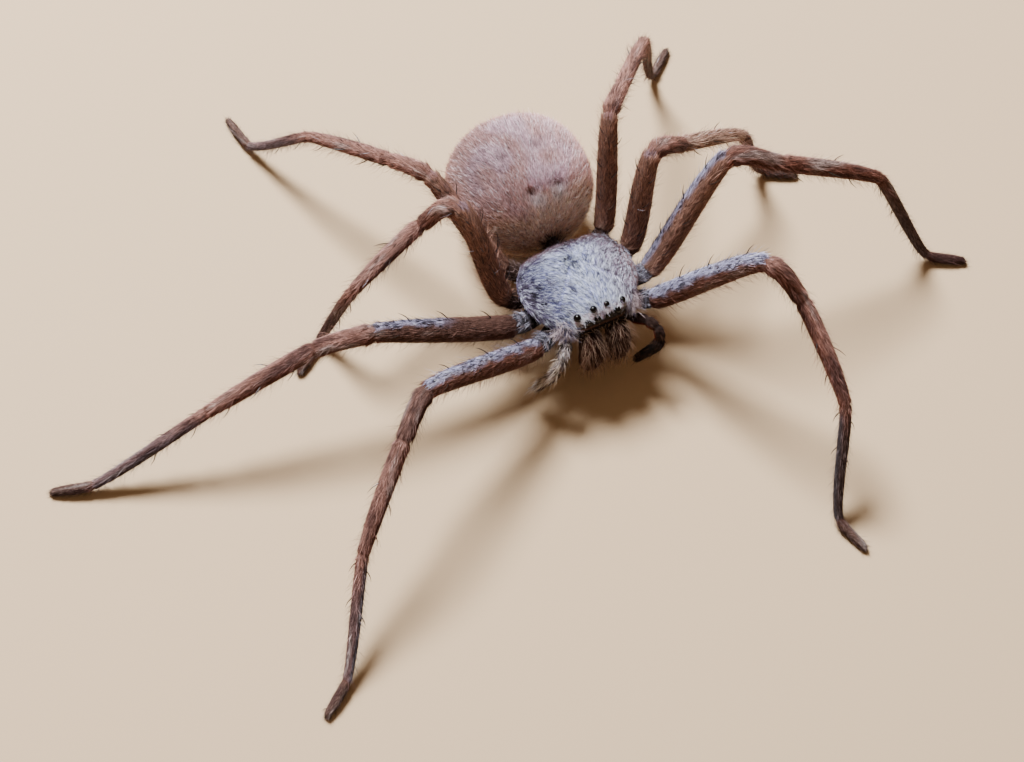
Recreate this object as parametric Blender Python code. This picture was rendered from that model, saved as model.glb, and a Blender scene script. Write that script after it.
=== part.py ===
"""A huntsman spider standing at rest.

The body, eyes, mouth parts and every segment of the eight legs are solids of their own.
Lengths are millimetres and angles are degrees. Shapes are worked out on the body's own axes, which run
forward, left and up from the middle of the carapace at the level of its edge. They are turned into the
object's axes at the end: +X is the spider's left, +Y its rear and +Z up, with the floor at zero.
"""

import math

import bmesh
import bpy
import numpy as np
from mathutils import Vector
from mathutils.bvhtree import BVHTree

MM = 0.001
GAP = 0.3
BODY_HEIGHT = 9.7

# Carapace and sternum: forward place, half width, height above the edge, depth below the edge.
TRUNK_STATIONS = (
    (-4.6, 3.2, 0.6, 1.8),
    (-4.3, 4.6, 1.25, 2.1),
    (-3.6, 5.85, 2.0, 2.4),
    (-2.4, 6.8, 2.75, 2.6),
    (-0.9, 7.3, 3.2, 2.8),
    (0.9, 7.35, 3.35, 2.8),
    (2.5, 7.0, 3.4, 2.7),
    (3.9, 6.35, 3.35, 2.4),
    (5.0, 5.6, 3.1, 2.0),
    (5.8, 5.1, 2.75, 1.5),
    (6.4, 4.65, 2.25, 0.9),
    (6.9, 4.1, 1.7, 0.4),
    (7.3, 3.4, 1.1, 0.1),
)
TRUNK_SIDES = 28
STERNUM_SHARE = 0.62

ABDOMEN_LENGTH = 17.2
ABDOMEN_WIDTH = 17.5
ABDOMEN_HEIGHT = 14.0
ABDOMEN_CENTRE = (-14.4, 0.0, -0.3)
ABDOMEN_NOSE_UP = 3.0
# How blunt the egg is: behind, in front seen from above, and in front seen from the side.
# The front end hangs low.
ABDOMEN_REAR_BLUNT = 2.2
ABDOMEN_FRONT_BLUNT = (2.5, 2.9)
ABDOMEN_FRONT_DROP = 2.4
ABDOMEN_RINGS = 16
ABDOMEN_SIDES = 26

PEDICEL_RADIUS = 0.8
PEDICEL_FROM = (-4.0, 0.0, -0.9)
PEDICEL_TO = (-7.6, 0.0, -0.8)

# Eye rows: name, forward place, distance from the middle, radius.
EYES = (
    ("front_middle", 6.62, 0.72, 0.36),
    ("front_side", 6.5, 2.15, 0.42),
    ("rear_middle", 5.6, 0.95, 0.36),
    ("rear_side", 5.7, 3.0, 0.4),
)
EYE_STANDS_OUT = 0.14
EYE_GAP = 0.15

# Paths on the left side: points and the radius at each. The right side is the mirror image where it has
# no path of its own.
CHELICERA_PATH = (
    (5.6, 1.7, -0.2),
    (7.3, 1.75, -0.9),
    (8.2, 1.8, -2.6),
    (8.2, 1.75, -4.6),
    (7.7, 1.65, -6.2),
)
CHELICERA_RADII = (1.2, 1.5, 1.55, 1.45, 1.15)
FANG_PATH = ((7.9, 2.0, -6.4), (7.8, 1.9, -7.6), (7.0, 1.5, -8.2), (6.0, 1.1, -8.0))
FANG_RADII = (0.5, 0.5, 0.4, 0.22)
PALP_PATHS = {
    "left": (
        (4.9, 3.4, -2.0),
        (6.5, 4.35, -1.8),
        (8.0, 5.5, -1.0),
        (9.6, 6.2, -1.1),
        (10.6, 5.9, -2.8),
        (10.1, 3.9, -5.8),
    ),
    "right": (
        (4.9, -3.4, -2.0),
        (6.5, -4.35, -1.8),
        (7.5, -5.2, -1.0),
        (8.5, -6.1, -1.4),
        (8.8, -7.0, -3.2),
        (8.5, -8.4, -5.8),
    ),
}
PALP_RADII = (0.6, 0.8, 0.85, 0.8, 0.9, 0.7)

SPINNERET_ROOT = (-21.2, 0.0, -1.9)
SPINNERET_LENGTH = 2.6
SPINNERET_RADIUS = 0.75

# Hip: where the trochanter meets the femur. Root: the inner end of the coxa.
# Both are forward, left and up for the left side.
HIPS = {1: (5.5, 7.6, -1.55), 2: (1.9, 8.9, -1.55), 3: (-1.6, 8.1, -1.55), 4: (-5.1, 6.5, -1.55)}
COXA_ROOTS = {1: (3.0, 2.6, -1.4), 2: (1.2, 2.6, -1.4), 3: (-1.0, 2.6, -1.4), 4: (-2.8, 2.4, -1.4)}

# Lengths of the femur, patella, tibia, metatarsus and tarsus of each pair.
LENGTHS = {
    1: (17.8, 6.4, 13.3, 14.6, 4.2),
    2: (17.4, 7.1, 14.3, 15.8, 4.5),
    3: (13.4, 6.4, 11.1, 10.8, 4.2),
    4: (15.0, 6.0, 12.0, 12.4, 4.5),
}
# Radii at the middle of the femur, patella, tibia, metatarsus and tarsus, then at the joints from the hip
# to the tip.
MIDDLE_RADII = (1.5, 1.2, 1.08, 0.8, 0.68)
JOINT_RADII = (1.28, 1.12, 0.98, 0.78, 0.62, 0.42)
LEG_THICKNESS = {1: 1.0, 2: 1.05, 3: 0.98, 4: 0.9}

# Pose: heading and lift of the femur, patella and tibia, then the headings of the metatarsus and
# the tarsus. A heading is measured from straight ahead and is positive to the spider's left. The two
# last segments slope down as far as their joints' heights ask.
POSE = {
    ("right", 1): ((-81, 24), (-51, -9), (-46, -24), -33, -54),
    ("right", 2): ((-104, 14), (-99, -3), (-89, -18), -89, -107),
    ("right", 3): ((-161, 48), (-123, -50), (-71, -11), -91, -56),
    ("right", 4): ((-153, 37), (-152, -20), (-147, -24), -144, -170),
    ("left", 1): ((53, 51), (31, -30), (5, -32), -21, 15),
    ("left", 2): ((109, 50), (71, -17), (71, -23), 43, 60),
    ("left", 3): ((139, 61), (104, -31), (94, -30), 78, 61),
    ("left", 4): ((156, 55), (135, -20), (133, -27), 109, 127),
}

# Spines of the legs: share of the segment's length, then degrees round the leg, where 90 is up and 0 and
# 180 are the sides.
FEMUR_SPINES = ((0.26, 55), (0.34, 125), (0.48, 50), (0.56, 130), (0.72, 45), (0.8, 135))
TIBIA_SPINES = ((0.2, -45), (0.28, -135), (0.42, 25), (0.5, 155), (0.66, -45), (0.74, -135))
METATARSUS_SPINES = ((0.1, -25), (0.19, -155), (0.38, -30), (0.48, -150))
SPINE_LENGTH = 2.2
SPINE_RADIUS = 0.36
SPINE_LEAN = 33.0
SPINE_SEED = 11

# Bristles of the chelicerae: share of the length, then degrees round it, where 90 faces forward and 0 is
# the left.
CHELICERA_BRISTLES = (
    (0.4, 90),
    (0.5, 45),
    (0.55, 135),
    (0.66, 90),
    (0.76, 40),
    (0.78, 140),
    (0.9, 65),
    (0.92, 115),
)
BRISTLE_LENGTH = 2.1
BRISTLE_LEAN = 28.0

ANKLE_HEIGHT = 1.15
TOE_HEIGHT = 0.48
LEG_SIDES = 10
JOINT_BLEND = 0.3
JOINT_HANDLE = 2.2

# Base colour and roughness of each kind of surface.
COLOURS = {
    "carapace": ((0.36, 0.31, 0.31), 0.85),
    "abdomen": ((0.40, 0.28, 0.21), 0.85),
    "leg_upper": ((0.30, 0.25, 0.25), 0.85),
    "leg_middle": ((0.27, 0.18, 0.15), 0.85),
    "foot": ((0.17, 0.13, 0.13), 0.8),
    "mouthparts": ((0.27, 0.20, 0.17), 0.8),
    "fang": ((0.03, 0.015, 0.012), 0.3),
    "eye": ((0.01, 0.009, 0.01), 0.12),
}


def start_scene():
    for obj in list(bpy.data.objects):
        bpy.data.objects.remove(obj, do_unlink=True)
    groups = {}
    for name in ("huntsman_spider", "cutters"):
        groups[name] = bpy.data.collections.new(name)
        bpy.context.scene.collection.children.link(groups[name])
    return groups["huntsman_spider"], groups["cutters"]


PARTS, CUTTERS = start_scene()
RANDOM = np.random.default_rng(SPINE_SEED)


def unit(vector):
    vector = np.asarray(vector, float)
    return vector / np.linalg.norm(vector)


def direction(heading, lift):
    turn, rise = math.radians(heading), math.radians(lift)
    return np.array([math.cos(rise) * math.cos(turn), math.cos(rise) * math.sin(turn), math.sin(rise)])


def mirrored(path):
    return tuple((forward, -left, up) for forward, left, up in path)


def material(name, kind):
    """The node's own material, in the colour of its kind of surface."""
    made = bpy.data.materials.new(name + "_surface")
    made.use_nodes = True
    shader = made.node_tree.nodes["Principled BSDF"]
    colour, roughness = COLOURS[kind]
    shader.inputs["Base Color"].default_value = (*colour, 1.0)
    shader.inputs["Roughness"].default_value = roughness
    shader.inputs["Metallic"].default_value = 0.0
    return made


def add_object(name, vertices, faces, kind=None):
    """Object from points on the body's axes. With a kind it is a node, without one it is a cutter."""
    vertices = np.asarray(vertices, float)
    placed = np.stack([vertices[:, 1], -vertices[:, 0], vertices[:, 2] + BODY_HEIGHT], 1) * MM
    mesh = bpy.data.meshes.new(name)
    mesh.from_pydata(placed.tolist(), [], faces)
    shape = bmesh.new()
    shape.from_mesh(mesh)
    bmesh.ops.recalc_face_normals(shape, faces=shape.faces)
    shape.to_mesh(mesh)
    shape.free()
    obj = bpy.data.objects.new(name, mesh)
    if kind is None:
        CUTTERS.objects.link(obj)
        obj.hide_render = True
        obj.display_type = "WIRE"
    else:
        PARTS.objects.link(obj)
        mesh.materials.append(material(name, kind))
    return obj


def loft(name, rings, kind=None):
    """Closed solid through rings with the same number of points, flat at both ends."""
    rings = np.asarray(rings, float)
    count, sides = rings.shape[:2]
    faces = []
    for ring in range(count - 1):
        for side in range(sides):
            after = (side + 1) % sides
            low, high = ring * sides, (ring + 1) * sides
            faces.append((low + side, low + after, high + after, high + side))
    faces.append(tuple(range(sides))[::-1])
    faces.append(tuple((count - 1) * sides + side for side in range(sides)))
    return add_object(name, rings.reshape(-1, 3), faces, kind)


def grown_copy(obj, distance):
    """Cutter that has the object's shape, moved outwards by the distance."""
    shape = bmesh.new()
    shape.from_mesh(obj.data)
    shape.normal_update()
    moves = [vertex.normal * (vertex.calc_shell_factor() * distance * MM) for vertex in shape.verts]
    for vertex, move in zip(shape.verts, moves):
        vertex.co += move
    mesh = bpy.data.meshes.new(obj.name + "_grown")
    shape.to_mesh(mesh)
    shape.free()
    cutter = bpy.data.objects.new(obj.name + "_grown", mesh)
    CUTTERS.objects.link(cutter)
    cutter.hide_render = True
    cutter.display_type = "WIRE"
    return cutter


def cut(obj, *cutters):
    for cutter in cutters:
        step = obj.modifiers.new("cut_" + cutter.name, "BOOLEAN")
        step.operation = "DIFFERENCE"
        step.solver = "EXACT"
        step.object = cutter


def ring_points(centre, along, radius, sides, flatten=1.0, side=None):
    """Ellipse square to the direction, with a flat below. Its half axis away from the side is the radius
    times flatten."""
    along = unit(along)
    side = np.cross(along, (0.0, 0.0, 1.0)) if side is None else side - along * (side @ along)
    side = unit(side)
    up = np.cross(side, along)
    angles = -math.pi / 2 + (np.arange(sides) + 0.5) * 2 * math.pi / sides
    return centre + radius * (np.outer(np.cos(angles), side) + flatten * np.outer(np.sin(angles), up))


def slide_to_plane(points, along, origin, normal):
    """Moves points along the direction until they lie in the plane."""
    along, normal = unit(along), unit(normal)
    return points + np.outer(((origin - points) @ normal) / (along @ normal), along)


def curve(start, end, leave, arrive, stations, handle=JOINT_HANDLE):
    """Points and directions on a curve that leaves and reaches its ends in the given directions."""
    handle = min(handle, 0.33 * np.linalg.norm(end - start))
    knots = np.array([start, start + handle * unit(leave), end - handle * unit(arrive), end])
    t = np.asarray(stations, float)[:, None]
    s = 1 - t
    points = s**3 * knots[0] + 3 * s * s * t * knots[1] + 3 * s * t * t * knots[2] + t**3 * knots[3]
    first, second, third = np.diff(knots, axis=0)
    return points, s * s * first + 2 * s * t * second + t * t * third


def swell(stations, first, middle, last):
    """Radius along a segment that is widest before its middle."""
    t = np.asarray(stations, float)
    base = first + (last - first) * t
    return base + (middle - (first + last) / 2) * np.sin(math.pi * t**0.8) ** 0.8


def smooth_path(points, radii, steps):
    """Even points, directions and radii on a smooth curve through the given points."""
    points, radii = np.asarray(points, float), np.asarray(radii, float)
    values = np.column_stack([points, radii])
    slopes = np.gradient(values, axis=0)
    found, turned = [], []
    for index in range(len(values) - 1):
        last = index == len(values) - 2
        for t in np.linspace(0, 1, steps + 1)[: None if last else -1]:
            a, b, m, n = values[index], values[index + 1], slopes[index], slopes[index + 1]
            blend = 3 * t**2 - 2 * t**3
            bend = (t**3 - 2 * t**2 + t) * m + (t**3 - t**2) * n
            found.append((1 - blend) * a + blend * b + bend)
            turn = (3 * t**2 - 4 * t + 1) * m + (3 * t**2 - 2 * t) * n
            turned.append((6 * t - 6 * t**2) * (b - a) + turn)
    found, turned = np.array(found), np.array(turned)
    return found[:, :3], turned[:, :3], found[:, 3]


def round_tip(centre, along, radius, sides, flatten=1.0, side=None):
    """Two rings that close a tube off in a dome."""
    along = unit(along)
    return [
        ring_points(centre + along * radius * 0.55, along, radius * 0.8, sides, flatten, side),
        ring_points(centre + along * radius * 0.9, along, radius * 0.35, sides, flatten, side),
    ]


def tube(name, path, radii, kind, sides=12, steps=2, flatten=1.0):
    """Tube with a round tip, along a smooth curve through the given points."""
    centres, slopes, widths = smooth_path(path, radii, steps)
    side = unit(np.cross(slopes[0], (0.0, 0.0, 1.0)))
    rings = []
    for centre, slope, width in zip(centres, slopes, widths):
        side = unit(side - unit(slope) * (side @ unit(slope)))
        rings.append(ring_points(centre, slope, width, sides, flatten, side))
    rings += round_tip(centres[-1], slopes[-1], widths[-1], sides, flatten, side)
    return loft(name, rings, kind)


def spike(root, middle, tip, radius, flatten):
    """Points and faces of a tapered spike with four sides, from its sunk root to its point."""
    along = unit(tip - root)
    rings = [
        ring_points(root, along, radius, 4, flatten),
        ring_points(middle, along, radius * 0.66, 4, flatten),
        ring_points(tip, along, 0.05, 4),
    ]
    faces = [(0, 1, 2, 3), (8, 11, 10, 9)]
    for low in (0, 4):
        faces += [(low + a, low + 4 + a, low + 4 + (a + 1) % 4, low + (a + 1) % 4) for a in range(4)]
    return np.concatenate(rings), faces


def add_spikes(host, centres, slopes, radii, places, length, lean, above=(0.0, 0.0, 1.0), flatten=1.0):
    """Spikes fused with the host, that lean towards its tip. Their turn is counted from the side to the
    way given as above."""
    shares = np.linspace(0, 1, len(centres))
    points, faces = [], []
    for share, turn in places:
        share += RANDOM.uniform(-0.02, 0.02)
        turn = math.radians(turn + RANDOM.uniform(-6, 6))
        centre = np.array([np.interp(share, shares, centres[:, axis]) for axis in range(3)])
        along = unit([np.interp(share, shares, slopes[:, axis]) for axis in range(3)])
        radius = np.interp(share, shares, radii)
        side = unit(np.cross(along, above))
        outward = math.cos(turn) * side + math.sin(turn) * np.cross(side, along)
        tilt = math.radians(lean)
        way = math.sin(tilt) * outward + math.cos(tilt) * along
        reach = length * RANDOM.uniform(0.9, 1.1)
        root = centre + outward * radius * 0.4
        tip = centre + outward * radius * 0.85 + way * reach
        middle = (root + tip) / 2 + outward * 0.12
        shape = spike(root, middle, tip, SPINE_RADIUS, flatten)
        faces += [tuple(index + 12 * len(points) for index in face) for face in shape[1]]
        points.append(shape[0])
    spikes = add_object(host.name + "_spikes", np.concatenate(points), faces)
    step = host.modifiers.new("spikes", "BOOLEAN")
    step.operation = "UNION"
    step.solver = "EXACT"
    step.object = spikes


def trunk_ring(forward, half_width, height, depth):
    """Section of the carapace and the sternum: a low dome above the edge, and a narrower keel below it."""
    angle = np.arange(TRUNK_SIDES) * 2 * math.pi / TRUNK_SIDES
    across, rise = np.cos(angle), np.sin(angle)
    upper = rise >= 0
    sunk = 1 - np.abs(rise)
    left = np.sign(across) * half_width * np.where(
        upper,
        np.abs(across) ** 0.85,
        np.abs(across) ** 0.6 * (STERNUM_SHARE + (1 - STERNUM_SHARE) * sunk**2),
    )
    up = np.where(upper, height * rise, depth * rise)
    return np.stack([np.full(TRUNK_SIDES, forward), left, up], 1)


def make_trunk():
    return loft("cephalothorax", [trunk_ring(*station) for station in TRUNK_STATIONS], "carapace")


def make_abdomen():
    """Egg that is blunt in front and widest behind its middle, with its front end low, over the stalk."""
    rings = []
    tip = math.radians(ABDOMEN_NOSE_UP)
    angle = np.arange(ABDOMEN_SIDES) * 2 * math.pi / ABDOMEN_SIDES
    for turn in np.linspace(0.1, math.pi - 0.1, ABDOMEN_RINGS):
        along = math.cos(turn)
        blunt = ABDOMEN_FRONT_BLUNT if along > 0 else (ABDOMEN_REAR_BLUNT, ABDOMEN_REAR_BLUNT)
        wide, tall = [(1 - abs(along) ** power) ** 0.5 * (1 - 0.05 * along) for power in blunt]
        forward = np.full(ABDOMEN_SIDES, ABDOMEN_LENGTH / 2 * along)
        left = ABDOMEN_WIDTH / 2 * wide * np.cos(angle)
        up = ABDOMEN_HEIGHT / 2 * tall * np.sin(angle) - ABDOMEN_FRONT_DROP * max(along, 0) ** 4
        ahead = forward * math.cos(tip) - up * math.sin(tip)
        above = forward * math.sin(tip) + up * math.cos(tip)
        rings.append(np.stack([ahead, left, above], 1) + ABDOMEN_CENTRE)
    return loft("abdomen", rings, "abdomen")


def make_pedicel(*cutters):
    along = np.subtract(PEDICEL_TO, PEDICEL_FROM)
    centres = np.linspace(PEDICEL_FROM, PEDICEL_TO, 3)
    rings = [ring_points(centre, along, PEDICEL_RADIUS, 12) for centre in centres]
    cut(loft("pedicel", rings, "carapace"), *cutters)


def surface_point(obj, forward, left):
    """Highest point of the object over a place, and the way the surface faces there, on the body's axes."""
    corners = [vertex.co for vertex in obj.data.vertices]
    tree = BVHTree.FromPolygons(corners, [tuple(face.vertices) for face in obj.data.polygons])
    place, normal, _, _ = tree.ray_cast(Vector((left * MM, -forward * MM, 0.1)), Vector((0, 0, -1)))
    found = np.array([-place.y / MM, place.x / MM, place.z / MM - BODY_HEIGHT])
    return found, np.array([-normal.y, normal.x, normal.z])


def make_eyes(trunk):
    cutter = grown_copy(trunk, EYE_GAP)
    cutter.name = "cephalothorax_grown_for_eyes"
    for row, forward, out, radius in EYES:
        for side, sign in (("left", 1), ("right", -1)):
            place, normal = surface_point(trunk, forward, sign * out)
            shape = bmesh.new()
            bmesh.ops.create_icosphere(shape, subdivisions=2, radius=radius)
            ball = np.array([tuple(v.co) for v in shape.verts]) + place + normal * EYE_STANDS_OUT
            faces = [tuple(v.index for v in face.verts) for face in shape.faces]
            shape.free()
            eye = add_object(f"eye_{row}_{side}", ball, faces, "eye")
            cut(eye, cutter)


def make_mouthparts(trunk_cutter, coxa_cutters):
    for side, sign in (("left", 1), ("right", -1)):
        path = CHELICERA_PATH if sign > 0 else mirrored(CHELICERA_PATH)
        radii = CHELICERA_RADII
        chelicera = tube(f"chelicera_{side}", path, radii, "mouthparts", sides=14, steps=2, flatten=1.08)
        chelicera_cutter = grown_copy(chelicera, GAP)
        middle = smooth_path(path, radii, 2)
        forwards = (1.0, 0.0, 0.0)
        add_spikes(
            chelicera, *middle, CHELICERA_BRISTLES, BRISTLE_LENGTH, BRISTLE_LEAN, forwards, 0.75
        )
        cut(chelicera, trunk_cutter)
        fang_path = FANG_PATH if sign > 0 else mirrored(FANG_PATH)
        fang = tube(f"fang_{side}", fang_path, FANG_RADII, "fang", sides=8)
        cut(fang, chelicera_cutter)
        palp = tube(f"palp_{side}", PALP_PATHS[side], PALP_RADII, "mouthparts", sides=10)
        cut(palp, trunk_cutter, chelicera_cutter, coxa_cutters[side])


def make_spinnerets(abdomen_cutter):
    """Short stub with two fingers side by side."""
    root = np.array(SPINNERET_ROOT)
    end = root + (-SPINNERET_LENGTH, 0, -0.5)
    stub = tube("spinnerets", (root, end), (1.2, 0.7), "mouthparts", sides=12)
    for sign in (1, -1):
        path = root + (0, sign * 0.5, 0), root + (-SPINNERET_LENGTH - 0.6, sign * 0.75, -0.7)
        finger = tube("spinneret_finger", path, (SPINNERET_RADIUS, 0.4), None, sides=8)
        step = stub.modifiers.new("finger", "BOOLEAN")
        step.operation = "UNION"
        step.solver = "EXACT"
        step.object = finger
    cut(stub, abdomen_cutter)


def leg_joints(side, pair):
    """Joints from the hip to the tip of the tarsus."""
    forward, left, up = HIPS[pair]
    joints = [np.array([forward, left if side == "left" else -left, up])]
    pose, lengths = POSE[side, pair], LENGTHS[pair]
    for (heading, lift), length in zip(pose[:3], lengths):
        joints.append(joints[-1] + length * direction(heading, lift))
    for heading, height, length in ((pose[3], ANKLE_HEIGHT, lengths[3]), (pose[4], TOE_HEIGHT, lengths[4])):
        drop = (height - BODY_HEIGHT - joints[-1][2]) / length
        joints.append(joints[-1] + length * direction(heading, math.degrees(math.asin(drop))))
    return joints


def segment_rings(start, end, before, after, stations, radii):
    """Rings of one leg segment, and its middle line. Each end is cut off in the plane that halves the
    joint's bend."""
    own = unit(end - start)
    leave = own if before is None else (1 - JOINT_BLEND) * own + JOINT_BLEND * before
    arrive = own if after is None else (1 - JOINT_BLEND) * own + JOINT_BLEND * after
    centres, slopes = curve(start, end, leave, arrive, stations)
    rings = [ring_points(c, s, r, LEG_SIDES) for c, s, r in zip(centres, slopes, radii)]
    if before is not None:
        rings[0] = slide_to_plane(rings[0], slopes[0], start + unit(own + before) * GAP / 2, own + before)
    if after is not None:
        rings[-1] = slide_to_plane(rings[-1], slopes[-1], end - unit(own + after) * GAP / 2, own + after)
    return rings, centres, slopes


def make_leg(side, pair, trunk_cutter):
    joints = leg_joints(side, pair)
    ways = [unit(b - a) for a, b in zip(joints, joints[1:])]
    thick = LEG_THICKNESS[pair]
    middles, knots = np.array(MIDDLE_RADII) * thick, np.array(JOINT_RADII) * thick
    label = f"leg_{side}_{pair}_"

    forward, left, up = COXA_ROOTS[pair]
    root = np.array([forward, left if side == "left" else -left, up])
    inward = unit(joints[0] - root)
    stations = (0.0, 0.3, 0.55, 0.8, 1.0)
    radii = (0.8, 1.05, 1.26 * thick, 1.26 * thick, knots[0])
    rings, _, _ = segment_rings(root, joints[0], None, ways[0], stations, radii)
    coxa = loft(label + "coxa", rings, "leg_upper")
    coxa_cutter = grown_copy(coxa, GAP)
    cut(coxa, trunk_cutter)

    stations = (0.0, 0.12, 0.26, 0.45, 0.65, 0.85, 1.0)
    radii = swell(stations, knots[0], middles[0], knots[1])
    rings, centres, slopes = segment_rings(joints[0], joints[1], inward, ways[1], stations, radii)
    femur = loft(label + "femur", rings, "leg_upper")
    add_spikes(femur, centres, slopes, radii, FEMUR_SPINES, SPINE_LENGTH, SPINE_LEAN)

    stations = (0.0, 0.25, 0.5, 0.75, 1.0)
    radii = swell(stations, knots[1], middles[1], knots[2])
    rings, centres, slopes = segment_rings(joints[1], joints[2], ways[0], ways[2], stations, radii)
    loft(label + "patella", rings, "leg_middle")

    stations = (0.0, 0.15, 0.35, 0.6, 0.83, 1.0)
    radii = swell(stations, knots[2], middles[2], knots[3])
    rings, centres, slopes = segment_rings(joints[2], joints[3], ways[1], ways[3], stations, radii)
    tibia = loft(label + "tibia", rings, "leg_middle")
    add_spikes(tibia, centres, slopes, radii, TIBIA_SPINES, SPINE_LENGTH, SPINE_LEAN)

    stations = (0.0, 0.18, 0.42, 0.7, 0.9, 1.0)
    shin_radii = swell(stations, knots[3], middles[3], knots[4])
    rings, shin, shin_slopes = segment_rings(joints[3], joints[4], ways[2], None, stations, shin_radii)
    rings = rings[:-1]
    ankle = unit(ways[3] + ways[4])
    rings.append(ring_points(joints[4], ankle, knots[4], LEG_SIDES))
    stations = (0.25, 0.5, 0.75, 1.0)
    centres, slopes = curve(joints[4], joints[5], ankle, ways[4], stations, handle=1.2)
    for centre, slope, radius in zip(centres, slopes, (0.66, 0.7, 0.66, 0.52)):
        rings.append(ring_points(centre, slope, radius * thick, LEG_SIDES))
    rings += round_tip(joints[5], ways[4], 0.5 * thick, LEG_SIDES)
    rings = np.array(rings)
    rings[..., 2] = np.maximum(rings[..., 2], -BODY_HEIGHT)
    foot = loft(label + "foot", rings, "foot")
    add_spikes(foot, shin, shin_slopes, shin_radii, METATARSUS_SPINES, SPINE_LENGTH * 0.85, SPINE_LEAN)
    return coxa_cutter


def centre_on_floor():
    """Moves everything so that the middle of the bounding box stands over the origin."""
    bpy.context.view_layer.update()
    graph = bpy.context.evaluated_depsgraph_get()
    corners = []
    for obj in PARTS.objects:
        shape = obj.evaluated_get(graph).to_mesh()
        points = np.array([vertex.co[:] for vertex in shape.vertices])
        corners += [points.min(0), points.max(0)]
    middle = (np.min(corners, 0) + np.max(corners, 0)) / 2
    for obj in list(PARTS.objects) + list(CUTTERS.objects):
        for vertex in obj.data.vertices:
            vertex.co.x -= middle[0]
            vertex.co.y -= middle[1]


def main():
    trunk = make_trunk()
    abdomen = make_abdomen()
    trunk_cutter = grown_copy(trunk, GAP)
    abdomen_cutter = grown_copy(abdomen, GAP)
    make_pedicel(trunk_cutter, abdomen_cutter)
    make_eyes(trunk)
    first_coxae = {}
    for side, pair in POSE:
        coxa_cutter = make_leg(side, pair, trunk_cutter)
        if pair == 1:
            first_coxae[side] = coxa_cutter
    make_mouthparts(trunk_cutter, first_coxae)
    make_spinnerets(abdomen_cutter)
    centre_on_floor()


main()
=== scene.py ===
"""Looks of a huntsman spider at rest: one skin, its coat of fine hair, eyes, fangs, spines and claws.

Shapes are worked out in millimetres on the body's own axes, which run forward, left and up from the middle
of the carapace at the level of its edge: f, l and u are the places of points on them. place() turns them
into the object's metres. Every surface is a grid of points whose rows run along it and whose columns close
round it, and the hairs are planted on the same grids.
"""

import math

import bpy
import numpy as np
from mathutils import Matrix, Vector


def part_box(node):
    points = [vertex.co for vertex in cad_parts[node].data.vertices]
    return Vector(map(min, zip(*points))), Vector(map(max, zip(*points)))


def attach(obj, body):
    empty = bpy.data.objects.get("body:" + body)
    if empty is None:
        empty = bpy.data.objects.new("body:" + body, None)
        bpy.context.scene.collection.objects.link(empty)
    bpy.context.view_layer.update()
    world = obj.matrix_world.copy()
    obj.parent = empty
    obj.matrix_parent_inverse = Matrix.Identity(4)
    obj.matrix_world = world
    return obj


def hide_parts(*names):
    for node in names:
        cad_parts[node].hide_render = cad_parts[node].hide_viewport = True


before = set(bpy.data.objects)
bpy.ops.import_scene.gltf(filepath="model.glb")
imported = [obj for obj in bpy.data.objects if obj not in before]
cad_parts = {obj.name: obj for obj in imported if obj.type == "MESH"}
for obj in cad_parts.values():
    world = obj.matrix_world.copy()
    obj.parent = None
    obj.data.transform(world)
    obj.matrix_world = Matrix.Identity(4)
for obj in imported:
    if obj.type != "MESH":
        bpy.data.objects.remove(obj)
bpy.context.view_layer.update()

BODY_HEIGHT = 9.7
SIDES = (("left", 1), ("right", -1))

# Carapace and sternum: forward place, half width, height above the edge, depth below the edge.
TRUNK_STATIONS = (
    (-4.6, 3.2, 0.6, 1.8),
    (-4.3, 4.6, 1.25, 2.1),
    (-3.6, 5.85, 2.0, 2.4),
    (-2.4, 6.8, 2.75, 2.6),
    (-0.9, 7.3, 3.2, 2.8),
    (0.9, 7.35, 3.35, 2.8),
    (2.5, 7.0, 3.4, 2.7),
    (3.9, 6.35, 3.35, 2.4),
    (5.0, 5.6, 3.1, 2.0),
    (5.8, 5.1, 2.75, 1.5),
    (6.4, 4.65, 2.25, 0.9),
    (6.9, 4.1, 1.7, 0.4),
    (7.3, 3.4, 1.1, 0.1),
)
TRUNK_ROWS, TRUNK_COLUMNS = 112, 132
STERNUM_SHARE = 0.62
# Dark marks on the carapace: forward place, left place, radius.
CARAPACE_MARKS = (
    (-1.8, -0.8, 0.26),
    (-1.1, -0.4, 0.3),
    (-0.5, -1.0, 0.2),
    (-0.6, 0.5, 0.16),
    (1.4, 3.0, 0.16),
    (0.5, -6.2, 0.28),
    (2.1, -5.7, 0.2),
    (0.2, -5.6, 0.2),
)

ABDOMEN_LENGTH, ABDOMEN_WIDTH, ABDOMEN_HEIGHT = 17.2, 17.5, 14.0
ABDOMEN_CENTRE = (-14.4, 0.0, -0.3)
ABDOMEN_NOSE_UP = 3.0
ABDOMEN_REAR_BLUNT, ABDOMEN_FRONT_BLUNT, ABDOMEN_FRONT_DROP = 2.2, (2.5, 2.9), 2.4
ABDOMEN_RINGS, ABDOMEN_COLUMNS = 116, 144
# Pits of the abdomen: forward place, distance from the midline, depth, radius.
ABDOMEN_PITS = (
    (-9.8, 1.75, 0.36, 0.36),
    (-15.1, 2.1, 0.26, 0.42),
    (-12.6, 2.1, 0.1, 0.5),
    (-17.9, 2.0, 0.1, 0.4),
)
PEDICEL_RADIUS = 0.8
PEDICEL_FROM, PEDICEL_TO = (-4.0, 0.0, -0.9), (-7.6, 0.0, -0.8)
SPINNERET_ROOT = (-21.2, 0.0, -1.9)
SPINNERET_LENGTH = 2.6

# Eye rows: name, forward place, distance from the middle, radius.
EYES = (
    ("front_middle", 6.62, 0.72, 0.36),
    ("front_side", 6.5, 2.15, 0.42),
    ("rear_middle", 5.6, 0.95, 0.36),
    ("rear_side", 5.7, 3.0, 0.4),
)
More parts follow.
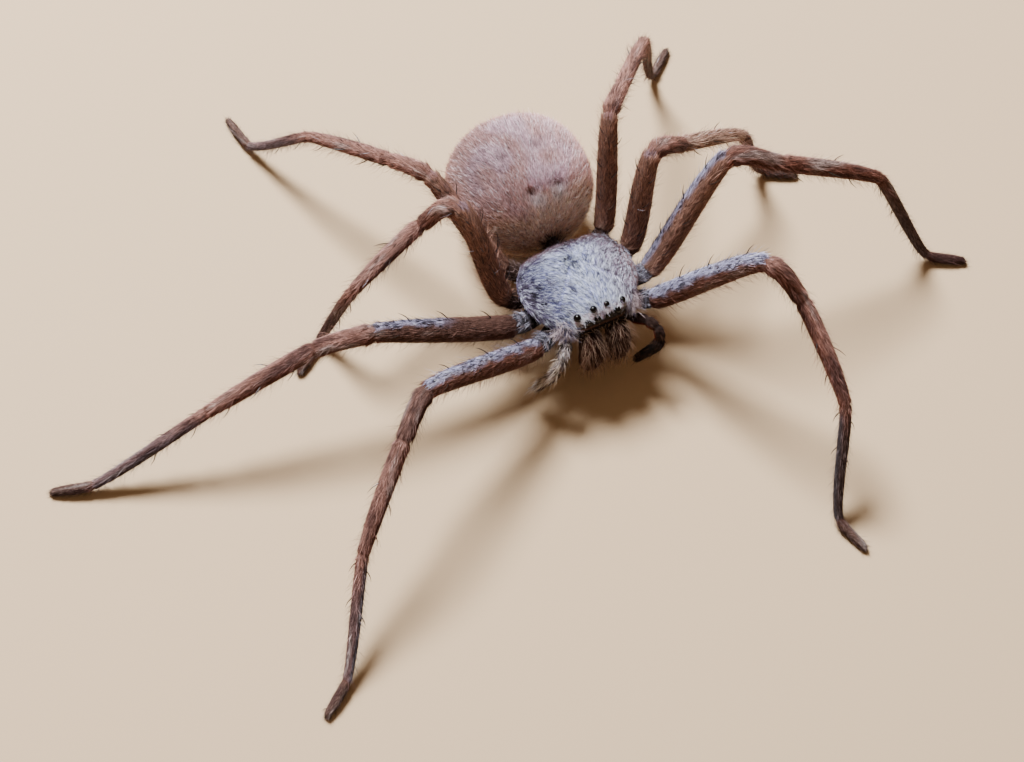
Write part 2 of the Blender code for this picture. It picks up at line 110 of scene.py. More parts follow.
# Radius of the eyes in the render against the solids': the right ones are the larger.
EYE_SWELL = {"left": 1.12, "right": 1.12**2}
EYE_SINK = 0.1

# Paths on the left side: points and the radius at each.
CHELICERA_PATH = ((5.6, 1.7, -0.2), (7.3, 1.75, -0.9), (8.2, 1.8, -2.6), (8.2, 1.75, -4.6), (7.7, 1.65, -6.2))
CHELICERA_RADII = (1.2, 1.5, 1.55, 1.45, 1.15)
FANG_PATH = ((7.9, 2.0, -6.4), (7.8, 1.9, -7.6), (7.0, 1.5, -8.2), (6.0, 1.1, -8.0))
FANG_RADII = (0.5, 0.44, 0.3, 0.08)
PALP_START = ((4.9, 3.4, -2.0), (6.5, 4.35, -1.8))
PALP_PATHS = {
    "left": (*PALP_START, (8.0, 5.5, -1.0), (9.6, 6.2, -1.1), (10.6, 5.9, -2.8), (10.1, 3.9, -5.8)),
    "right": (*PALP_START, (7.5, 5.2, -1.0), (8.5, 6.1, -1.4), (8.8, 7.0, -3.2), (8.5, 8.4, -5.8)),
}
PALP_RADII = (0.6, 0.8, 0.85, 0.8, 0.9, 0.7)
PALP_JOINTS = (1.0, 2.0, 2.75, 3.6)

HIPS = {1: (5.5, 7.6, -1.55), 2: (1.9, 8.9, -1.55), 3: (-1.6, 8.1, -1.55), 4: (-5.1, 6.5, -1.55)}
COXA_ROOTS = {1: (3.0, 2.6, -1.4), 2: (1.2, 2.6, -1.4), 3: (-1.0, 2.6, -1.4), 4: (-2.8, 2.4, -1.4)}
# Lengths of the femur, patella, tibia, metatarsus and tarsus of each pair.
LENGTHS = {
    1: (17.8, 6.4, 13.3, 14.6, 4.2),
    2: (17.4, 7.1, 14.3, 15.8, 4.5),
    3: (13.4, 6.4, 11.1, 10.8, 4.2),
    4: (15.0, 6.0, 12.0, 12.4, 4.5),
}
COXA_MIDDLE, COXA_ROOT_RADIUS = 1.26, 0.8
MIDDLE_RADII = (1.5, 1.2, 1.08, 0.8, 0.68)
JOINT_RADII = (1.28, 1.12, 0.98, 0.78, 0.62, 0.42)
TARSUS_RADII = (0.62, 0.66, 0.7, 0.66, 0.56)
LEG_THICKNESS = {1: 1.0, 2: 1.05, 3: 0.98, 4: 0.9}
LEG_COLUMNS = 28
# Rows of the coxa, femur, patella, tibia, metatarsus and tarsus, and the length of their hair in
# millimetres.
SEGMENT_ROWS = (34, 46, 22, 38, 42, 16)
SEGMENT_FUR = (0.5, 0.82, 0.78, 0.78, 0.62, 0.44)
SEGMENT_DENSITY = (0.7, 1.0, 1.05, 1.05, 1.1, 1.3)
# Heading and lift of the femur, patella and tibia, then the headings of the metatarsus and of the tarsus.
POSE = {
    ("right", 1): ((-81, 24), (-51, -9), (-46, -24), -33, -54),
    ("right", 2): ((-104, 14), (-99, -3), (-89, -18), -89, -107),
    ("right", 3): ((-161, 48), (-123, -50), (-71, -11), -91, -56),
    ("right", 4): ((-153, 37), (-152, -20), (-147, -24), -144, -170),
    ("left", 1): ((53, 51), (31, -30), (5, -32), -21, 15),
    ("left", 2): ((109, 50), (71, -17), (71, -23), 43, 60),
    ("left", 3): ((139, 61), (104, -31), (94, -30), 78, 61),
    ("left", 4): ((156, 55), (135, -20), (133, -27), 109, 127),
}
ANKLE_HEIGHT, TOE_HEIGHT = 1.15, 0.48
JOINT_HANDLE, TOE_HANDLE = 2.2, 1.2

# Spines: share of the segment's length, then degrees round the leg, where 90 is up.
FEMUR_SPINES = ((0.26, 55), (0.34, 125), (0.48, 50), (0.56, 130), (0.72, 45), (0.8, 135))
TIBIA_SPINES = ((0.2, -45), (0.28, -135), (0.42, 25), (0.5, 155), (0.66, -45), (0.74, -135))
METATARSUS_SPINES = ((0.1, -25), (0.19, -155), (0.38, -30), (0.48, -150))
# Number of the segment, its spines, and their share of the full length.
SPINE_ROWS = ((0, FEMUR_SPINES, 1.0), (2, TIBIA_SPINES, 1.0), (3, METATARSUS_SPINES, 0.85))
SPINE_LENGTH, SPINE_LEAN, SPINE_SEED = 2.2, 33.0, 11
SPINE_RADII, CLAW_RADII = (0.07, 0.055, 0.014), (0.09, 0.07, 0.015)

# Colours of the legs. Strip: where the pale strip of the femur starts and where it is full; the strip lies on
# the side that faces the lamp, partly the femur's own marking and partly painted light. Lilac: its share of
# that
# colour. Femur: the colour of its sides, partly painted shade.
STRIP_EDGES = {
    ("left", 1): (0.36, 0.6),
    ("left", 2): (0.3, 0.55),
    ("right", 1): (0.72, 0.9),
    ("right", 2): (0.8, 0.94),
}
LILAC_SHARE = {1: 1.0, 2: 0.9, 3: 0.25, 4: 0.15}
FEMUR_TINTS = {("left", 1): (112, 72, 60), ("right", 1): (112, 72, 60), ("right", 2): (98, 68, 59)}
FEMUR_TINT = (158, 116, 99)

# How far the skin lies inside the solids, which reach out to the middle of the coat.
SKIN_INSET = 0.16
ROUND_STEPS = 6
UP = (0.0, 0.0, 1.0)

# Camera and light, on the body's axes. The light stands LIGHT_AWAY metres off.
CAMERA_PLACE = (101.09, -83.70, 244.64)
CAMERA_HEADING, CAMERA_ELEVATION, CAMERA_ROLL = -37.5, 64.56, 11.72
CAMERA_LENS = 82.52
LIGHT_FROM, LIGHT_AWAY = (-0.833, -0.10, 1.0), 0.55

low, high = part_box("cephalothorax")
SIDE_SHIFT = (low[0] + high[0]) / 2 * 1000
FRONT_SHIFT = low[1] * 1000 + TRUNK_STATIONS[-1][0]


def place(points):
    """The body's forward, left and up in millimetres, as the object's x, y and z in metres."""
    points = np.asarray(points, float)
    x, y, z = points[..., 1] + SIDE_SHIFT, FRONT_SHIFT - points[..., 0], points[..., 2] + BODY_HEIGHT
    return np.stack([x, y, z], -1) * 0.001


def turn_only(ways):
    """A direction on the body's axes, as one on the object's."""
    ways = np.asarray(ways, float)
    return np.stack([ways[..., 1], -ways[..., 0], ways[..., 2]], -1)


def unit(vectors):
    """Vectors divided by their lengths."""
    vectors = np.asarray(vectors, float)
    return vectors / np.maximum(np.linalg.norm(vectors, axis=-1, keepdims=True), 1e-9)


def direction(heading, lift):
    """The way at a heading, counted from forward to the left, and a lift above the level, both in
    degrees."""
    turn, rise = math.radians(heading), math.radians(lift)
    return np.array([math.cos(rise) * math.cos(turn), math.cos(rise) * math.sin(turn), math.sin(rise)])


def mirrored(point, side):
    """A point of the left side, as an array on the given side."""
    forward, left, up = point
    return np.array([forward, left if side == "left" else -left, up])


def rgb(red, green, blue):
    """A colour read off a screen, as linear light."""
    shade = np.array([red, green, blue]) / 255
    return np.where(shade <= 0.04045, shade / 12.92, ((shade + 0.055) / 1.055) ** 2.4)


def mix(first, second, share):
    """Blend of two colours or arrays of them. The share is 0 for the first and 1 for the second."""
    share = np.clip(np.asarray(share, float), 0, 1)[..., None]
    return first * (1 - share) + second * share


def layered(colour, *layers):
    """The colour with layers laid over it in turn. Each layer is a screen colour and its share at each
    point."""
    for tint, share in layers:
        colour = mix(colour, rgb(*tint), share)
    return colour


def step(values, low, high):
    """0 below low, 1 above high, and a smooth rise between them."""
    t = np.clip((values - low) / (high - low), 0, 1)
    return t * t * (3 - 2 * t)


def bell(values, width):
    """1 at 0, falling off on both sides as e to the minus square of the value in widths."""
    return np.exp(-((values / width) ** 2))


def apart(f, l, forward, left, wide):
    """Square of the distance from a place seen from above, counted in the given width."""
    return ((f - forward) ** 2 + (l - left) ** 2) / wide**2


def patches(points, size, seed):
    """Soft random pattern from -1 to 1 in space: the mean of forty plane waves of about the given length,
    each with its own way and phase."""
    draw = np.random.default_rng(seed)
    ways = unit(draw.normal(size=(40, 3))) * (2 * math.pi / size * draw.uniform(0.6, 1.5, (40, 1)))
    return np.cos(points @ ways.T + draw.uniform(0, 2 * math.pi, 40)).mean(-1) * 5


def between(grid, row, column, after, down, across):
    """Values inside the cells of a grid: read across two rows, from each column to the one after, then
    between the rows."""
    first = grid[row, column] * (1 - across) + grid[row, after] * across
    second = grid[row + 1, column] * (1 - across) + grid[row + 1, after] * across
    return first * (1 - down) + second * down


def streaks(around, along, count, period, seed):
    """Random streaks that run along a surface: a lattice of random numbers, count of them round it and one
    for each period along it, read between its points."""
    rows = int(np.max(along) / period) + 3
    lattice = np.random.default_rng(seed).uniform(-1, 1, (rows, count))
    r, c = np.clip(along / period, 0, rows - 2), (around % 1) * count
    row, column = r.astype(int), c.astype(int) % count
    return between(lattice, row, column, (column + 1) % count, r - row, c - np.floor(c))


# Surfaces


class Surface:
    """A closed grid of points, with the way its hair lies, its colour, and the length and density of its
    coat."""

    def __init__(self, points):
        self.points = np.asarray(points, float)
        rows, columns = self.points.shape[:2]
        self.update_normals()
        self.around, self.t = np.meshgrid(np.arange(columns) / columns, np.linspace(0, 1, rows))
        along = np.linalg.norm(np.diff(self.points.mean(1), axis=0), axis=1)
        self.along = np.repeat(np.concatenate([[0], np.cumsum(along)])[:, None], columns, 1)
        self.set_lie(np.gradient(self.points, axis=0))
        self.tint = np.full(self.points.shape, 0.2)
        self.fur = np.full((rows, columns), 0.7)
        self.density = np.ones((rows, columns))

    def update_normals(self):
        """Normals are square to the grid's two directions, and point away from the middle of each row."""
        down = np.gradient(self.points, axis=0)
        across = np.roll(self.points, -1, 1) - np.roll(self.points, 1, 1)
        normals = unit(np.cross(across, down))
        out = self.points - self.points.mean(1, keepdims=True)
        self.flip = np.sum(normals * out) < 0
        self.normals = -normals if self.flip else normals

    def push(self, distance):
        """Moves the points outwards by the distance."""
        self.points = self.points + self.normals * np.asarray(distance)[..., None]
        self.update_normals()

    def set_lie(self, way):
        """Keeps the part of the way that runs along the surface."""
        way = np.broadcast_to(way, self.points.shape)
        self.lie = unit(way - self.normals * np.sum(way * self.normals, -1, keepdims=True))


def grid_faces(rows, columns, flip):
    """Quads of a closed grid, and a many-sided face over each end."""
    r, c = np.meshgrid(np.arange(rows - 1), np.arange(columns), indexing="ij")
    after = (c + 1) % columns
    corners = (r * columns + c, (r + 1) * columns + c, (r + 1) * columns + after, r * columns + after)
    quads = np.stack(corners, -1).reshape(-1, 4)
    first, last = np.arange(columns), (rows - 1) * columns + np.arange(columns)
    ends = [first.tolist(), last[::-1].tolist()]
    if flip:
        quads, ends = quads[:, ::-1], [end[::-1] for end in ends]
    return quads.tolist() + ends


def hermite(values, count):
    """Even samples of a smooth curve through rows of values, with the slope at each row taken from its
    neighbours, and the place of each sample among the rows."""
    values = np.asarray(values, float)
    slopes = np.gradient(values, axis=0)
    where = np.linspace(0, len(values) - 1, count)
    first = np.minimum(where.astype(int), len(values) - 2)
    t = (where - first)[:, None]
    a, b, m, n = values[first], values[first + 1], slopes[first], slopes[first + 1]
    from_first = (2 * t**3 - 3 * t**2 + 1) * a + (t**3 - 2 * t**2 + t) * m
    return from_first + (3 * t**2 - 2 * t**3) * b + (t**3 - t**2) * n, where


def rings_along(centres, radii, columns, above=UP, flatten=1.0):
    """A circle of the given radius round each centre, square to the path."""
    ways = unit(np.gradient(centres, axis=0))
    side = unit(np.cross(ways, above))
    up = np.cross(side, ways)
    angle = (np.arange(columns) * 2 * math.pi / columns - math.pi / 2)[None, :, None]
    spread = np.cos(angle) * side[:, None] + flatten * np.sin(angle) * up[:, None]
    return centres[:, None] + radii[:, None, None] * spread


def with_round_ends(centres, radii):
    """Adds points past each end on which the radius falls to nothing as a half ball's does."""
    turn = np.linspace(0, math.pi / 2, ROUND_STEPS + 1)[1:]
    way = unit(centres[-1] - centres[-2])
    centres = np.concatenate([centres, centres[-1] + np.sin(turn)[:, None] * radii[-1] * way])
    radii = np.concatenate([radii, np.maximum(radii[-1] * np.cos(turn), 0.01)])
    way = unit(centres[0] - centres[1])
    centres = np.concatenate([(centres[0] + np.sin(turn)[:, None] * radii[0] * way)[::-1], centres])
    radii = np.concatenate([np.maximum(radii[0] * np.cos(turn), 0.01)[::-1], radii])
    return centres, radii


def tube(path, radii, columns, rows, above=UP, flatten=1.0, inset=0.0):
    """Tube with round ends along a smooth curve through the points."""
    values, _ = hermite(np.column_stack([path, radii]), rows)
    centres, widths = with_round_ends(values[:, :3], values[:, 3] - inset)
    return Surface(rings_along(centres, widths, columns, above, flatten))


def groove_lines(f, l, width):
    """The two lines that part the head from the thorax: a bell across each, from its rear end to its front
    one."""
    return bell(np.abs(l) - 0.9 * (f + 1.7), width) * step(f, -1.7, -0.8) * (1 - step(f, 2.6, 4.2))


def make_trunk():
    """Carapace and sternum: each section is a low dome above the edge and a narrower keel below it, and
    both ends close in small rings. Grooves, rays and the swellings under the eyes are added along the
    normals."""
    stations, _ = hermite(TRUNK_STATIONS, TRUNK_ROWS)
    shrink = np.linspace(0, 1, 9)[1:, None]
    front, rear = stations[-1], stations[0]
    close = np.sqrt(np.maximum(1 - shrink**2, 1e-4))
    middle = np.array([1, 0, 0, 0])
    front_rings = front * (1 - middle) * close + middle * (front[0] + 0.05 * shrink)
    rear_rings = (rear * (1 - middle) * close + middle * (rear[0] - 0.35 * shrink))[::-1]
    rear_lift = (1 - close[::-1, 0]) * (rear[2] - rear[3]) / 2
    front_lift = (1 - close[:, 0]) * (front[2] - front[3]) / 2
    lift = np.concatenate([rear_lift, np.zeros(TRUNK_ROWS), front_lift])
    stations = np.concatenate([rear_rings, stations, front_rings])
    angle = (np.arange(TRUNK_COLUMNS) + 0.5) * 2 * math.pi / TRUNK_COLUMNS
    across, rise = np.cos(angle), np.sin(angle)
    keel = np.abs(across) ** 0.6 * (STERNUM_SHARE + (1 - STERNUM_SHARE) * (1 - np.abs(rise)) ** 2)
    left = stations[:, 1:2] * np.sign(across) * np.where(rise >= 0, np.abs(across) ** 0.85, keel)
    up = np.where(rise >= 0, stations[:, 2:3] * rise, stations[:, 3:4] * rise) + lift[:, None]
    trunk = Surface(np.stack([np.repeat(stations[:, :1], TRUNK_COLUMNS, 1), left, up], -1))
    f, l = trunk.points[..., 0], trunk.points[..., 1]
    top = step(trunk.normals[..., 2], 0.0, 0.4)
    raised = np.zeros(f.shape)
    for _, forward, out, radius in EYES:
        raised += 0.16 * np.exp(-apart(f, np.abs(l), forward, out, radius * 1.5))
    groove = groove_lines(f, l, 0.5) * 0.22
    furrow = bell(l, 0.28) * bell(f + 2.1, 1.0) * 0.45
    spokes = bell((np.arctan2(l, f + 1.9) * 4 / math.pi + 0.5) % 1 - 0.5, 0.16)
    rays = spokes * step(np.hypot(l, f + 1.9), 1.0, 2.5) * 0.1
    trunk.push((raised - groove - furrow - rays) * top - SKIN_INSET)
    return trunk


def tint_trunk(trunk):
    """Pale lilac-grey on top in soft patches, darker and bluer on the right as painted shade and sheen,
    browner towards the edges and most on the left, brown on the rear slope as painted shadow of the abdomen,
    dark marks, a dark band of painted shade under the brow and a pale rim below it, painted shadow below the
    rim at the front, brown underneath, and pale rings round the eyes of the rear row."""
    f, l, u = (trunk.points[..., axis] for axis in range(3))
    up = trunk.normals[..., 2]
    front = f + 0.02 * l**2
    flecks = step(patches(trunk.points, 1.1, 3), 0.4, 1.1) * step(up, 0.2, 0.6)
    specks = step(patches(trunk.points, 0.8, 17), 1.25, 1.6) * step(up, 0.3, 0.6) * step(4.8 - f, 0, 0.5)
    groove = groove_lines(f, l, 0.4) + bell(l, 0.3) * bell(f + 2.1, 1.0)
    brow = step(front, 5.6, 5.9) * (1 - step(front, 6.25, 6.4)) * step(3.9 - np.abs(l), 0, 0.5)
    # painted shade: a dark band over the front of the head under the brow, where the brow shades it; the fur
    # is shorter there
    brow_shade = step(front + 0.08 * patches(trunk.points, 0.7, 26), 6.2, 6.34) * step(3.5 - np.abs(l), 0, 0.5)
    rim = bell(u - 1.25, 0.13) * step(f, 6.6, 6.9) * step(3.4 - np.abs(l), 0, 0.4)
    marks = [np.exp(-apart(f, l, *mark)) for mark in CARAPACE_MARKS]
    colour = layered(
        rgb(158, 164, 213),
        # painted shade and sheen: the right side of the carapace darker and bluer
        ((86, 86, 124), 0.8 * step(-l, 1.5, 5.5)),
        ((148, 112, 114), 0.3 * step(np.abs(l), 4.8, 7.0) + 0.75 * step(l, 1.0, 5.0)),
        # painted shadow: the rear slope brown, where the abdomen shades it
        ((96, 62, 52), 0.9 * (1 - step(f, -4.3, -2.2))),
        ((92, 78, 88), 0.7 * flecks),
        ((40, 30, 34), 0.8 * specks),
        ((96, 84, 98), 0.4 * groove),
        *(((22, 18, 24), 0.95 * np.exp(-(apart(f, l, *mark) ** 2))) for mark in CARAPACE_MARKS),
        ((178, 148, 156), 0.65 * brow),
        ((22, 14, 12), 0.98 * brow_shade),
        ((226, 224, 236), 0.75 * bell(np.hypot(f - 6.1, l + 2.5), 0.4)),
        ((168, 120, 100), rim * (0.45 + 0.3 * patches(trunk.points, 1.2, 9))),
        # painted shadow: nearly black on the front of the head below the rim
        ((24, 15, 12), step(f, 6.6, 6.9) * (1 - step(u, 0.95, 1.1))),
        ((92, 58, 44), 1 - step(u, -0.9, -0.1)),
    )
    for name, forward, out, radius in EYES:
        ring = bell(np.hypot(f - forward, np.abs(l) - out) - radius * 1.35, 0.2) * step(u, 1.2, 1.7)
        colour = layered(colour, ((226, 220, 224), ring * (0.8 if "rear" in name else 0.12)))
    trunk.tint = colour
    corner = 1.6 * np.sign(l) * step(np.abs(l), 3.6, 4.8) * step(f, 4.4, 5.6)
    way = np.stack([1 + 0 * f, -0.25 * l * (1 - np.abs(corner) / 1.6) + corner, 0 * f], -1)
    trunk.set_lie(np.where((u > -0.3)[..., None], way, np.array([1.0, 0, 0])))
    trunk.fur = 0.86 - 0.4 * step(f, 3.6, 5.6) - 0.22 * brow_shade
    trunk.density = 0.35 + 0.65 * step(up, -0.3, 0.1)
    for mark in marks:
        trunk.density = trunk.density * (1 - 0.4 * mark)
    near = np.min([np.hypot(f - forward, np.abs(l) - out) / radius for _, forward, out, radius in EYES], 0)
    trunk.density = trunk.density * (0.02 + 0.98 * step(near, 0.8, 1.0))


def from_midline(f, l):
    """Distance from the midline of the abdomen's pattern, which runs a little askew."""
    return np.abs(l - 0.4 - 0.15 * (f + 9.8))


def make_abdomen():
    """Egg that is blunt in front and widest behind its middle, with pairs of small pits on its back where
    muscles pull from inside, and faint folds."""
    rings = np.linspace(0.07, math.pi - 0.07, ABDOMEN_RINGS)
    turn = np.concatenate([[0.012, 0.035], rings, [math.pi - 0.035, math.pi - 0.012]])
    along = np.cos(turn)[:, None]
    angle = (np.arange(ABDOMEN_COLUMNS) * 2 * math.pi / ABDOMEN_COLUMNS)[None]
    wide, tall = (
        (1 - np.abs(along) ** np.where(along > 0, blunt, ABDOMEN_REAR_BLUNT)) ** 0.5 * (1 - 0.05 * along)
        for blunt in ABDOMEN_FRONT_BLUNT
    )
    forward = ABDOMEN_LENGTH / 2 * along + 0 * angle
    left = ABDOMEN_WIDTH / 2 * wide * np.cos(angle)
    up = ABDOMEN_HEIGHT / 2 * tall * np.sin(angle) - ABDOMEN_FRONT_DROP * np.maximum(along, 0) ** 4
    tip = math.radians(ABDOMEN_NOSE_UP)
    raised = forward * math.sin(tip) + up * math.cos(tip)
    points = np.stack([forward * math.cos(tip) - up * math.sin(tip), left, raised], -1)
    abdomen = Surface(points + ABDOMEN_CENTRE)
    f, l = abdomen.points[..., 0], abdomen.points[..., 1]
    top = step(abdomen.normals[..., 2], 0.3, 0.6)
    sunk = np.zeros(f.shape)
    for forward, out, depth, width in ABDOMEN_PITS:
        hole = np.exp(-apart(f, from_midline(f, l), forward, out, width))
        dish = np.exp(-apart(f, from_midline(f, l), forward, out, width * 2.6))
        sunk += depth * hole + depth * 0.45 * dish
    fold = 0.05 * patches(abdomen.points, 6.0, 8)
    abdomen.push(-(sunk + fold) * top - SKIN_INSET - 0.06)
    return abdomen


def tint_abdomen(abdomen):
    """Fawn, pinker and paler on top, warm brown at the sides and underneath, paler over the front slope as
    painted light where the lamp from behind leaves it in shade, nearly black at the low front as painted
    shade in the gap by the carapace, dark in the pits, with pale hair in front of each front pit."""
    f, l, u = (abdomen.points[..., axis] for axis in range(3))
    up = abdomen.normals[..., 2]
    colour = layered(
        mix(rgb(156, 104, 88), rgb(170, 132, 130), step(up, 0.0, 0.85)),
        # painted light: the front slope turns pale fawn, where the lamp from behind leaves it in shade
        ((250, 210, 188), 0.95 * step(f - 0.35 * u, -12.5, -8.0)),
        ((192, 164, 182), 0.5 * step(patches(abdomen.points, 5.0, 21) + up, 0.7, 1.6)),
        ((126, 92, 78), 0.5 * (1 - step(up, -0.7, -0.1))),
        # painted shade: nearly black at the low front, in the gap between abdomen and carapace
        ((40, 24, 18), 0.92 * (1 - step(u, -4.4, -2.2)) * step(f, -12.5, -9.5)),
    )
    # painted light: brighter over the front slope, which the lamp from behind leaves in shade, and brighter
    # towards the left
    colour = colour * np.clip(1.05 + 0.055 * l + 0.27 * step(f, -14.5, -10.5), 0.72, 1.5)[..., None]
    pits = np.zeros(f.shape)
    for forward, out, depth, width in ABDOMEN_PITS:
        pits += min(1.0, depth * 3.2) * np.exp(-apart(f, from_midline(f, l), forward, out, width * 1.1))
    pale = bell(f + 8.7 + 0.06 * l**2, 0.7) * bell(from_midline(f, l) - 1.3, 1.2) * step(up, 0.2, 0.5)
    abdomen.tint = layered(
        colour, ((74, 48, 40), 0.75 * pits * step(up, 0.2, 0.5)), ((226, 216, 220), 0.8 * pale)
    )
    abdomen.fur = 0.74 + 0.12 * step(f, -14, -7) - 0.2 * pits
    abdomen.density = (0.6 + 0.4 * step(up, -0.6, 0.1)) * (1 - 0.7 * np.clip(pits, 0, 1))
    abdomen.set_lie(np.stack([-1 - 0 * f, 0.05 * l, -0.3 + 0.8 * step(f, -18, -8)], -1))


def leg_joints(side, pair):
    """Joints from the hip to the tip of the tarsus."""
    joints = [mirrored(HIPS[pair], side)]
    *upper, ankle, toe = POSE[side, pair]
    lengths = LENGTHS[pair]
    for (heading, lift), length in zip(upper, lengths):
        joints.append(joints[-1] + length * direction(heading, lift))
    for heading, height, length in ((ankle, ANKLE_HEIGHT, lengths[3]), (toe, TOE_HEIGHT, lengths[4])):
        drop = (height - BODY_HEIGHT - joints[-1][2]) / length
        joints.append(joints[-1] + length * direction(heading, math.degrees(math.asin(drop))))
    return joints


def swell(t, first, middle, last):
    """Radius along a segment that is widest before its middle."""
    base = first + (last - first) * t
    return base + (middle - (first + last) / 2) * np.sin(math.pi * t**0.8) ** 0.8


def bezier(start, end, leave, arrive, t, handle=JOINT_HANDLE):
    """Points on a curve that leaves the start and reaches the end in the given directions, and its
    slopes."""
    handle = min(handle, 0.33 * np.linalg.norm(end - start))
    a, b, c, d = start, start + handle * unit(leave), end - handle * unit(arrive), end
    t = t[:, None]
    s = 1 - t
    points = s**3 * a + 3 * s * s * t * b + 3 * s * t * t * c + t**3 * d
    return points, s * s * (b - a) + 2 * s * t * (c - b) + t * t * (d - c)


def make_leg(side, pair):
    """One tube from the coxa's root to the tip of the tarsus. Its middle line runs smoothly through the
    joints and its radius swells along each segment and dips at each joint. The segment number and the share
    of its length are kept for each row."""
    joints = [mirrored(COXA_ROOTS[pair], side)] + leg_joints(side, pair)
    ways = [unit(b - a) for a, b in zip(joints, joints[1:])]
    thick = LEG_THICKNESS[pair]
    middles = (COXA_MIDDLE, *MIDDLE_RADII)
    knots = (COXA_ROOT_RADIUS / thick, *JOINT_RADII)
    centres, radii, segment, share = [], [], [], []
    for index, rows in enumerate(SEGMENT_ROWS):
        tarsus = index == 5
        before = ways[index - 1] if index else ways[0]
        after = ways[5] if tarsus else ways[index + 1]
        if tarsus:
            t = np.linspace(0, 1, rows)
            width = np.interp(t, [0, 0.25, 0.5, 0.75, 1], TARSUS_RADII) * thick
        else:
            t = np.linspace(0, 1, rows + 1)[:-1]
            width = swell(t, knots[index], middles[index], knots[index + 1]) * thick
        handle = TOE_HANDLE if tarsus else JOINT_HANDLE
        leave, arrive = ways[index] + before, ways[index] + after
        found, _ = bezier(joints[index], joints[index + 1], leave, arrive, t, handle)
        reach = np.linalg.norm(joints[index + 1] - joints[index])
        behind, ahead = t * reach, (1 - t) * reach
        dips = (bell(behind, 0.35) if index else 0) + (0 if tarsus else bell(ahead, 0.35))
        knuckles = bell(behind - 0.9, 0.5) if index > 1 else 0
        knuckles = knuckles + (bell(ahead - 0.9, 0.55) if 0 < index < 5 else 0)
        knuckle_height = 0.08 if index in (1, 2) else 0.05
        inset = SKIN_INSET * (1 - 0.3 * tarsus)
        radii.append(width * (1 - 0.1 * dips + knuckle_height * knuckles) - inset)
        centres.append(found)
        segment.append(np.full(rows, index))
        share.append(t)
    closed, shrunk = with_round_ends(np.concatenate(centres), np.concatenate(radii))
    points = rings_along(closed, shrunk, LEG_COLUMNS)
    points[..., 2] = np.maximum(points[..., 2], -BODY_HEIGHT + 0.03)
    leg = Surface(points)
    leg.segment, leg.share = (
        np.repeat(np.pad(np.concatenate(rows), ROUND_STEPS, mode="edge")[:, None], LEG_COLUMNS, 1)
        for rows in (segment, share)
    )
    leg.lengths = np.array([np.linalg.norm(b - a) for a, b in zip(joints, joints[1:])])
    leg.pair, leg.side, leg.joints = pair, side, joints
    return leg


